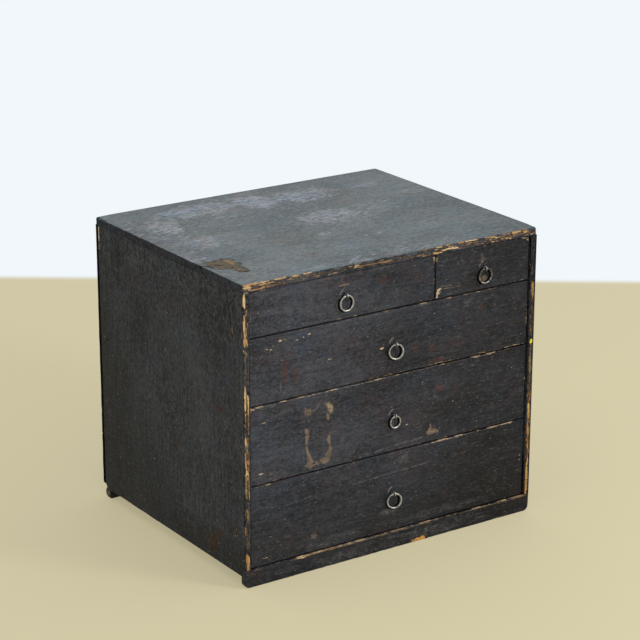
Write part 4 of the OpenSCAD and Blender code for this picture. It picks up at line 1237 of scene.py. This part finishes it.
class CHEST_OT_back_board(bpy.types.Operator):
    """Build the back board"""
    bl_idname = "chest.back_board"
    bl_label = "Back board"

    def execute(self, context):
        low, high = node_box("back_board")
        left = node_box("left_panel")[0][0]
        pegs = [(x, z) for x in peg_lines(low, high) for z in peg_places(low[2], high[2], 30, 4)]
        # It ends this far above the batten, in millimetres
        gap = 3.6
        foot = (low[0], node_box("rear_rail")[1][2] + gap)
        board = Board(
            "y", rectangle(foot, high[[0, 2]]), (5, 5, 0.6, 0.6), (low[1], high[1]), 1,
            (0.5, 1.4), 31, context.scene.chest_wear, rows=2, wave=0.25, paint_depth=6.7,
            marks=moved(BACK_MARKS, left), pegs=pegs, worn=0.04,
        )

        def blackened(points, edges, layers):
            """Its two ends are darkened."""
            end = np.clip(np.abs(points[:, 0]) - high[0] + 1.2, 0, 0.6)
            layers["pit"] = np.maximum(layers["pit"], end)

        board.build("worn_back", paints("side"), "case", "back_board", blackened)
        return {"FINISHED"}


class CHEST_OT_base_rails(bpy.types.Operator):
    """Build the front rail and the batten under the back"""
    bl_idname = "chest.base_rails"
    bl_label = "Base rails"

    def execute(self, context):
        wear = context.scene.chest_wear
        low, high = node_box("front_rail")
        rail = Board(
            "y", rectangle(low[[0, 2]], high[[0, 2]]), (8, 8, 0.7, 0.7), (low[1], high[1]), 0,
            (1.4, 0.5), 41, wear, wave=0.22, paint_depth=8.8,
            marks=moved(RAIL_MARKS, node_box("left_panel")[0][0]), worn=0.0, chips=1.3, step=0.7,
        )
        rail.build("worn_front_rail", paints("rail"), "case", "front_rail")
        low, high = node_box("rear_rail")
        middle = (low + high) / 2
        marks = [
            ("bare", middle[1] + 1.0, middle[2] - 0.5, 5.0, 3.8, 0.95),
            ("dirt", middle[1], middle[2], 9, 7, 0.46), ("pit", middle[1] - 7.0, middle[2], 6, 12, 0.5),
        ]
        batten = Board(
            "x", rectangle(low[1:], high[1:]), (5.4, 6.4, 6.4, 0.6), (low[0], high[0]), 0,
            (1.6, 1.6), 42, wear, rows=40, wave=0.12, marks=marks, reach=2.0, worn=0.1, paint_depth=999.0,
        )
        batten.build("worn_rear_rail", paints("rail"), "case", "rear_rail")
        return {"FINISHED"}


class CHEST_OT_inner_boards(bpy.types.Operator):
    """Give the shelves, the divider and the bottom board their old wood"""
    bl_idname = "chest.inner_boards"
    bl_label = "Inner boards"

    def execute(self, context):
        across = aged_wood("shelf_wood", "x")
        upright = aged_wood("divider_wood", "y")
        for node in ("upper_shelf", "middle_shelf", "lower_shelf", "bottom_board"):
            dress(node, across)
        dress("divider", upright)
        return {"FINISHED"}


def aged_wood(name, grain, soil=0.3):
    """The material of unpainted boards inside the chest."""
    wood = bpy.context.scene.chest_wood
    return raw_wood(name, grain, wood.aged_light, wood.aged_dark, wood.dirty, soil)


def dress(node, material):
    """Gives a node that keeps its own mesh a better finish."""
    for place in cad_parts[node].material_slots:
        place.material = material


class CHEST_OT_drawer_fronts(bpy.types.Operator):
    """Build the five drawer fronts, with the scars of each"""
    bl_idname = "chest.drawer_fronts"
    bl_label = "Drawer fronts"

    def execute(self, context):
        left = node_box("left_panel")[0][0]
        for k, drawer in enumerate(DRAWERS):
            low, high = node_box(f"{drawer}_front")
            pin_low, pin_high = node_box(f"{drawer}_pin")
            x, z = (pin_low[0] + pin_high[0]) / 2, (pin_low[2] + pin_high[2]) / 2
            holes = [(x, z, *PIN_HOLE)]
            # An arc rubbed by the ring when it was lifted aside, and a painted shadow of the ring on the
            # front
            arc = circle(x + 3.5, z - 2.0, 10.2, 1.4, np.linspace(1.95, 2.85, 6))
            ring_low, ring_high = node_box(f"{drawer}_ring")
            middle, ring = (ring_low + ring_high) / 2, (ring_high[2] - ring_low[2]) / 2 - 1.2
            ring_shadow = circle(middle[0] + 1.5, middle[2] - 2.3, ring, 2.3, np.linspace(0, math.tau, 25))
            if drawer == "top_left_drawer":
                holes.append((low[0] + OLD_HOLE[0], *OLD_HOLE[1:]))
            board = Board(
                "y", rectangle(low[[0, 2]], high[[0, 2]]), (1, 1, 1, 1), (low[1], high[1]), 0,
                (1.0, 0.4), 51 + k, context.scene.chest_wear, paint_depth=4.0,
                marks=moved(FRONT_MARKS[drawer], left) + [
                    # The ring's painted shadow, and a painted shadow of the eye round the hole of the pin
                    ("scuff", 1.22, *arc), ("pit", 0.95, *ring_shadow), ("pit", x + 0.5, z, 3.4, 3.2, 0.9),
                ],
                holes=holes, worn=0.04, chips=0.8, step=0.8,
            )
            board.build(f"worn_{drawer}_front", paints("front"), drawer, f"{drawer}_front")
        return {"FINISHED"}


class CHEST_OT_drawer_boxes(bpy.types.Operator):
    """Give the sides, backs and bottoms of the drawers their old wood"""
    bl_idname = "chest.drawer_boxes"
    bl_label = "Drawer boxes"

    def execute(self, context):
        sides = aged_wood("drawer_side_wood", "y")
        across = aged_wood("drawer_board_wood", "x", soil=0.4)
        for drawer in DRAWERS:
            for piece, material in (
                ("left_side", sides), ("right_side", sides), ("back", across), ("bottom", across)
            ):
                dress(f"{drawer}_{piece}", material)
        return {"FINISHED"}


class CHEST_OT_pegs(bpy.types.Operator):
    """Build the painted pegs of the case, and finish those of the drawers"""
    bl_idname = "chest.pegs"
    bl_label = "Pegs"

    def execute(self, context):
        wood = context.scene.chest_wood
        material = raw_wood("peg_wood_grain", "z", wood.peg, wood.dirty, wood.dirty, soil=0.5)
        for drawer in DRAWERS:
            dress(f"{drawer}_pegs", material)
        low, high = node_box("top_board")
        foot = node_box("back_board")[0][2]
        points, faces = [], []
        for x in peg_lines(low, high):
            for y in peg_places(low[1], high[1] - 7, 30, 5):
                self.peg(points, faces, (x, y, high[2] - 0.7), (0, 0, -1))
            for z in peg_places(foot, low[2], 30, 4):
                self.peg(points, faces, (x, high[1] - 0.7, z), (0, -1, 0))
        points = np.array(points)
        layers = {name: np.zeros(len(points)) for name in LAYERS}
        finish_piece(
            "painted_pegs", points, faces, layers, paints("top"), "case", "case_pegs"
        )
        return {"FINISHED"}

    def peg(self, points, faces, head, way, radius=1.46, long=14.0):
        """One peg with a domed head that lies just under the painted face."""
        head, way = Vector(head), Vector(way)
        side = way.orthogonal().normalized()
        other = way.cross(side)
        first = len(points)
        turns = 20
        profile = ((0.35, 0.0), (0.8, 0.04), (0.97, 0.16), (1.0, 0.4), (1.0, long - 1.5), (0.6, long))
        points.append(head)
        for reach, far in profile:
            for k in range(turns):
                angle = math.tau * k / turns
                out = (side * math.cos(angle) + other * math.sin(angle)) * radius * reach
                points.append(head + way * far + out)
        faces += [(first, first + 1 + k, first + 1 + (k + 1) % turns) for k in range(turns)]
        for row in range(len(profile) - 1):
            base = first + 1 + row * turns
            faces += strip(base, base + turns, turns)
        last = first + 1 + (len(profile) - 1) * turns
        faces.append(tuple(last + k for k in range(turns)))


def curve_points(knots, parts):
    """A smooth line through knots, with the same number of parts between each two."""
    knots = np.array(knots, float)
    padded = np.vstack([2 * knots[0] - knots[1], knots, 2 * knots[-1] - knots[-2]])
    line = []
    for k in range(1, len(padded) - 2):
        a, b, c, d = padded[k - 1:k + 3]
        for t in np.arange(parts) / parts:
            line.append(0.5 * (2 * b + (c - a) * t + (2 * a - 5 * b + 4 * c - d) * t * t
                               + (3 * b - a - 3 * c + d) * t ** 3))
    line.append(knots[-1])
    return np.array(line)


def wire(line, radii, closed, sides, seed, rough):
    """A round wire along a line, with a hammered skin that only goes inward."""
    count = len(line)
    if closed:
        along = np.roll(line, -1, axis=0) - np.roll(line, 1, axis=0)
    else:
        along = np.gradient(line, axis=0)
    along /= np.linalg.norm(along, axis=1)[:, None]
    side = np.cross(along[0], (0.0, 0.0, 1.0) if abs(along[0][2]) < 0.9 else (1.0, 0.0, 0.0))
    sides_at = []
    for k in range(count):
        side = side - along[k] * side.dot(along[k])
        side = side / np.linalg.norm(side)
        sides_at.append(side)
    sides_at = np.array(sides_at)
    others = np.cross(along, sides_at)
    angles = np.arange(sides) / sides * math.tau
    skin = sides_at[:, None] * np.cos(angles)[None, :, None] + others[:, None] * np.sin(angles)[None, :, None]
    reach = np.broadcast_to(radii, count)[:, None] * np.ones(sides)
    places = (line[:, None] + skin * reach[..., None]).reshape(-1, 3)
    noise = Lattice(seed)
    dent = rough * (0.6 * noise(places, 2.6) + 0.4 * noise(places, 1.0)).reshape(count, sides)
    points = (line[:, None] + skin * (reach * (1 - dent))[..., None]).reshape(-1, 3)
    faces = []
    for k in range(count if closed else count - 1):
        faces += strip(k * sides, (k + 1) % count * sides, sides)
    if not closed:
        faces.append(tuple(range(sides)))
        faces.append(tuple((count - 1) * sides + j for j in range(sides)))
    return points, faces, skin.reshape(-1, 3)


class CHEST_OT_ring_pulls(bpy.types.Operator):
    """Forge the five rings and the split pins that hold them"""
    bl_idname = "chest.ring_pulls"
    bl_label = "Ring pulls"

    def execute(self, context):
        pulls = context.scene.chest_pulls
        iron = old_iron("old_iron", pulls.bright, pulls.dark)
        for k, drawer in enumerate(DRAWERS):
            self.ring(drawer, pulls, iron, 61 + k)
            self.pin(drawer, pulls, iron, 71 + k)
        return {"FINISHED"}

    def ring(self, drawer, pulls, iron, seed):
        low, high = node_box(f"{drawer}_ring")
        wire_r = pulls.ring_wire / MM / 2
        centre = (low + high) / 2
        reach = (high[2] - low[2]) / 2 - wire_r
        turn = math.radians(RING_TURNS.get(drawer, 0))
        angles = np.arange(112) / 112 * math.tau
        draw = np.random.RandomState(seed)
        oval = reach * (1 - 0.006 * (1 + np.cos(2 * angles + draw.rand() * 6)))
        flat, tall = oval * np.sin(angles), reach * np.cos(angles)
        line = centre + np.c_[flat * math.cos(turn), flat * math.sin(turn), tall]
        points, faces, skin = wire(line, wire_r, True, 18, seed, 0.09)
        # Fingers polish the front and the lower half
        polish = RING_POLISH.get(drawer, 0.50) - 0.3 * skin[:, 1]
        polish = polish + 0.25 * np.clip((centre[2] - points[:, 2]) / reach, -1, 1)
        finish_piece(
            f"forged_{drawer}_ring", points, faces, {"bare": np.clip(polish + 0.3, 0, 1)}, iron,
            f"{drawer}_ring", f"{drawer}_ring",
        )

    def pin(self, drawer, pulls, iron, seed):
        low, high = node_box(f"{drawer}_pin")
        face, back = (corner[1] for corner in node_box(f"{drawer}_front"))
        wire_r = pulls.eye_wire / MM / 2
        eye_r = (high[2] - low[2]) / 2 - wire_r
        x, z = (low[0] + high[0]) / 2, (low[2] + high[2]) / 2
        eye_y = low[1] + eye_r + wire_r
        leg_y = high[1] - 0.9
        reach = (high[0] - low[0]) / 2

        def leg(side):
            return [
                (side * reach, leg_y + 0.05, 0.0), (side * reach * 0.75, leg_y, 0.0),
                (side * reach * 0.45, leg_y, 0.0), (side * 2.2, leg_y, 0.0), (side * 1.05, leg_y - 0.55, 0.0),
                (side * 0.58, leg_y - 1.7, 0.0), (side * 0.52, back - 3.0, 0.0),
                (side * 0.52, face + 4.0, 0.0), (side * 0.50, face + 1.0, side * -0.1),
            ]

        loop = []
        for angle in np.linspace(-26, -334, 17):
            tilt = math.radians(angle)
            loop.append((0.30 * math.cos(tilt / 2), eye_y + eye_r * math.cos(tilt), eye_r * math.sin(tilt)))
        neck = eye_y + eye_r + 1.0
        knots = leg(1) + [(0.36, neck, -0.42)] + loop + [(-0.36, neck, 0.42)] + leg(-1)[::-1]
        line = curve_points(knots, 4) + np.array([x, 0, z])
        ends = np.arange(len(line))
        taper = np.clip(np.minimum(ends, ends[::-1]) / 6, 0.35, 1)
        points, faces, _ = wire(line, wire_r * 0.99 * taper, False, 14, seed, 0.06)
        finish_piece(
            f"forged_{drawer}_pin", points, faces, {"bare": np.full(len(points), 1.0)}, iron,
            drawer, f"{drawer}_pin",
        )


# Where the camera stands and looks, in metres, and how far it is rolled, in degrees
CAMERA_PLACE = (-1.62667, -2.40350, 1.23379)
CAMERA_AHEAD = (0.53311348, 0.78455041, -0.31665545)
CAMERA_ROLL = 0.096
LAMP_PLACE = (0.95, -1.70, 1.35)
LAMP_AIM = (0.0, 0.0, 0.18)
# The way over the floor that leads off from the camera, and where on it the floor turns pale
FLOOR_AWAY = (0.579, 0.816, 0.0)
FLOOR_PALE = (1.00, 1.04)
# How much of the ground's colour is its own light, near by
GROUND_GLOW = 0.55


class CHEST_OT_stage(bpy.types.Operator):
    """Set the pale floor, the soft light and the camera"""
    bl_idname = "chest.stage"
    bl_label = "Stage"

    def execute(self, context):
        scene, stage = context.scene, context.scene.chest_stage
        self.floor(stage)
        self.lights(scene, stage)
        self.camera(scene, stage)
        scene.view_settings.view_transform = "Standard"
        return {"FINISHED"}

    def floor(self, stage):
        f = Finish("pale_ground")
        # Beyond a straight line behind the chest, the floor turns into the pale ground
        far = f.rise(f.along(FLOOR_AWAY), *FLOOR_PALE)
        soft = f.noise(900, 1, detail=2)
        worn, fresh = ([tone * share for tone in stage.floor] for share in (0.95, 1.05))
        near = f.mix(soft, worn, fresh)
        material = f.close(near, 0.75 + soft * 0.05, soft, 0.01)
        shader, ends = f.tree.nodes["Principled BSDF"], f.tree.nodes["Material Output"]
        ray = f.node("LightPath").outputs
        seen = Field(f, ray["Is Camera Ray"]) + Field(f, ray["Is Glossy Ray"])
        seen = seen + Field(f, ray["Is Transmission Ray"])
        # The ground's own light softens the shadows on it, and lights nothing else
        pale = f.node("Emission", (), {"Color": f.mix(far, stage.ground, stage.backdrop), "Strength": 1.0})
        share = (GROUND_GLOW + far * (1 - GROUND_GLOW)) * f.math("MINIMUM", seen, 1.0)
        both = f.node("MixShader", (), {0: share, 1: shader.outputs[0], 2: pale.outputs[0]})
        f.tree.links.new(both.outputs[0], ends.inputs["Surface"])
        mesh = bpy.data.meshes.new("floor")
        shape = bmesh.new()
        bmesh.ops.create_grid(shape, x_segments=24, y_segments=24, size=8.0)
        shape.to_mesh(mesh)
        shape.free()
        mesh.materials.append(material)
        floor = bpy.data.objects.new("floor", mesh)
        bpy.context.scene.collection.objects.link(floor)

    def lights(self, scene, stage):
        world = bpy.data.worlds.new("daylight")
        world.use_nodes = True
        sky = world.node_tree.nodes["Background"]
        sky.inputs["Color"].default_value = (0.97, 0.985, 1.0, 1.0)
        sky.inputs["Strength"].default_value = stage.daylight
        scene.world = world
        data = bpy.data.lights.new("soft_lamp", "AREA")
        data.shape, data.size, data.energy = "DISK", 0.6, stage.lamp
        lamp = bpy.data.objects.new("soft_lamp", data)
        lamp.location = LAMP_PLACE
        aim = Vector(LAMP_AIM) - Vector(LAMP_PLACE)
        lamp.rotation_euler = aim.to_track_quat("-Z", "Y").to_euler()
        scene.collection.objects.link(lamp)

    def camera(self, scene, stage):
        data = bpy.data.cameras.new("camera")
        data.lens, data.sensor_width = stage.lens, 36.0
        camera = bpy.data.objects.new("camera", data)
        ahead = Vector(CAMERA_AHEAD).normalized()
        right = ahead.cross(Vector((0, 0, 1))).normalized()
        up = right.cross(ahead)
        roll = math.radians(CAMERA_ROLL)
        right, up = right * math.cos(roll) + up * math.sin(roll), up * math.cos(roll) - right * math.sin(roll)
        turn = Matrix((right, up, -ahead)).transposed()
        camera.matrix_world = Matrix.Translation(Vector(CAMERA_PLACE)) @ turn.to_4x4()
        scene.collection.objects.link(camera)
        scene.camera = camera


class CHEST_PT_panel(bpy.types.Panel):
    bl_idname = "CHEST_PT_panel"
    bl_label = "Small tansu chest"
    bl_space_type = "VIEW_3D"
    bl_region_type = "UI"
    bl_category = "Chest"

    def draw(self, context):
        for name in GROUPS:
            box = self.layout.box()
            box.label(text=name.replace("_", " ").title())
            group = getattr(context.scene, name)
            for item in group.bl_rna.properties:
                if item.identifier not in ("rna_type", "name"):
                    box.prop(group, item.identifier)
        for step in STEPS:
            self.layout.operator(step.bl_idname)


GROUPS = {
    "chest_paint": ChestPaint, "chest_wood": ChestWood, "chest_wear": ChestWear,
    "chest_pulls": ChestPulls, "chest_stage": ChestStage,
}
STEPS = (
    CHEST_OT_stage, CHEST_OT_top_board, CHEST_OT_side_panels, CHEST_OT_back_board,
    CHEST_OT_base_rails, CHEST_OT_inner_boards, CHEST_OT_drawer_fronts, CHEST_OT_drawer_boxes,
    CHEST_OT_pegs, CHEST_OT_ring_pulls,
)


def register():
    for group in GROUPS.values():
        bpy.utils.register_class(group)
    for name, group in GROUPS.items():
        setattr(bpy.types.Scene, name, PointerProperty(type=group))
    for step in STEPS:
        bpy.utils.register_class(step)
    bpy.utils.register_class(CHEST_PT_panel)


def unregister():
    bpy.utils.unregister_class(CHEST_PT_panel)
    for step in reversed(STEPS):
        bpy.utils.unregister_class(step)
    for name, group in reversed(GROUPS.items()):
        delattr(bpy.types.Scene, name)
        bpy.utils.unregister_class(group)


def main():
    register()
    for step in STEPS:
        getattr(bpy.ops.chest, step.bl_idname.split(".")[1])()
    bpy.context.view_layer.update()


if __name__ == "__main__":
    main()
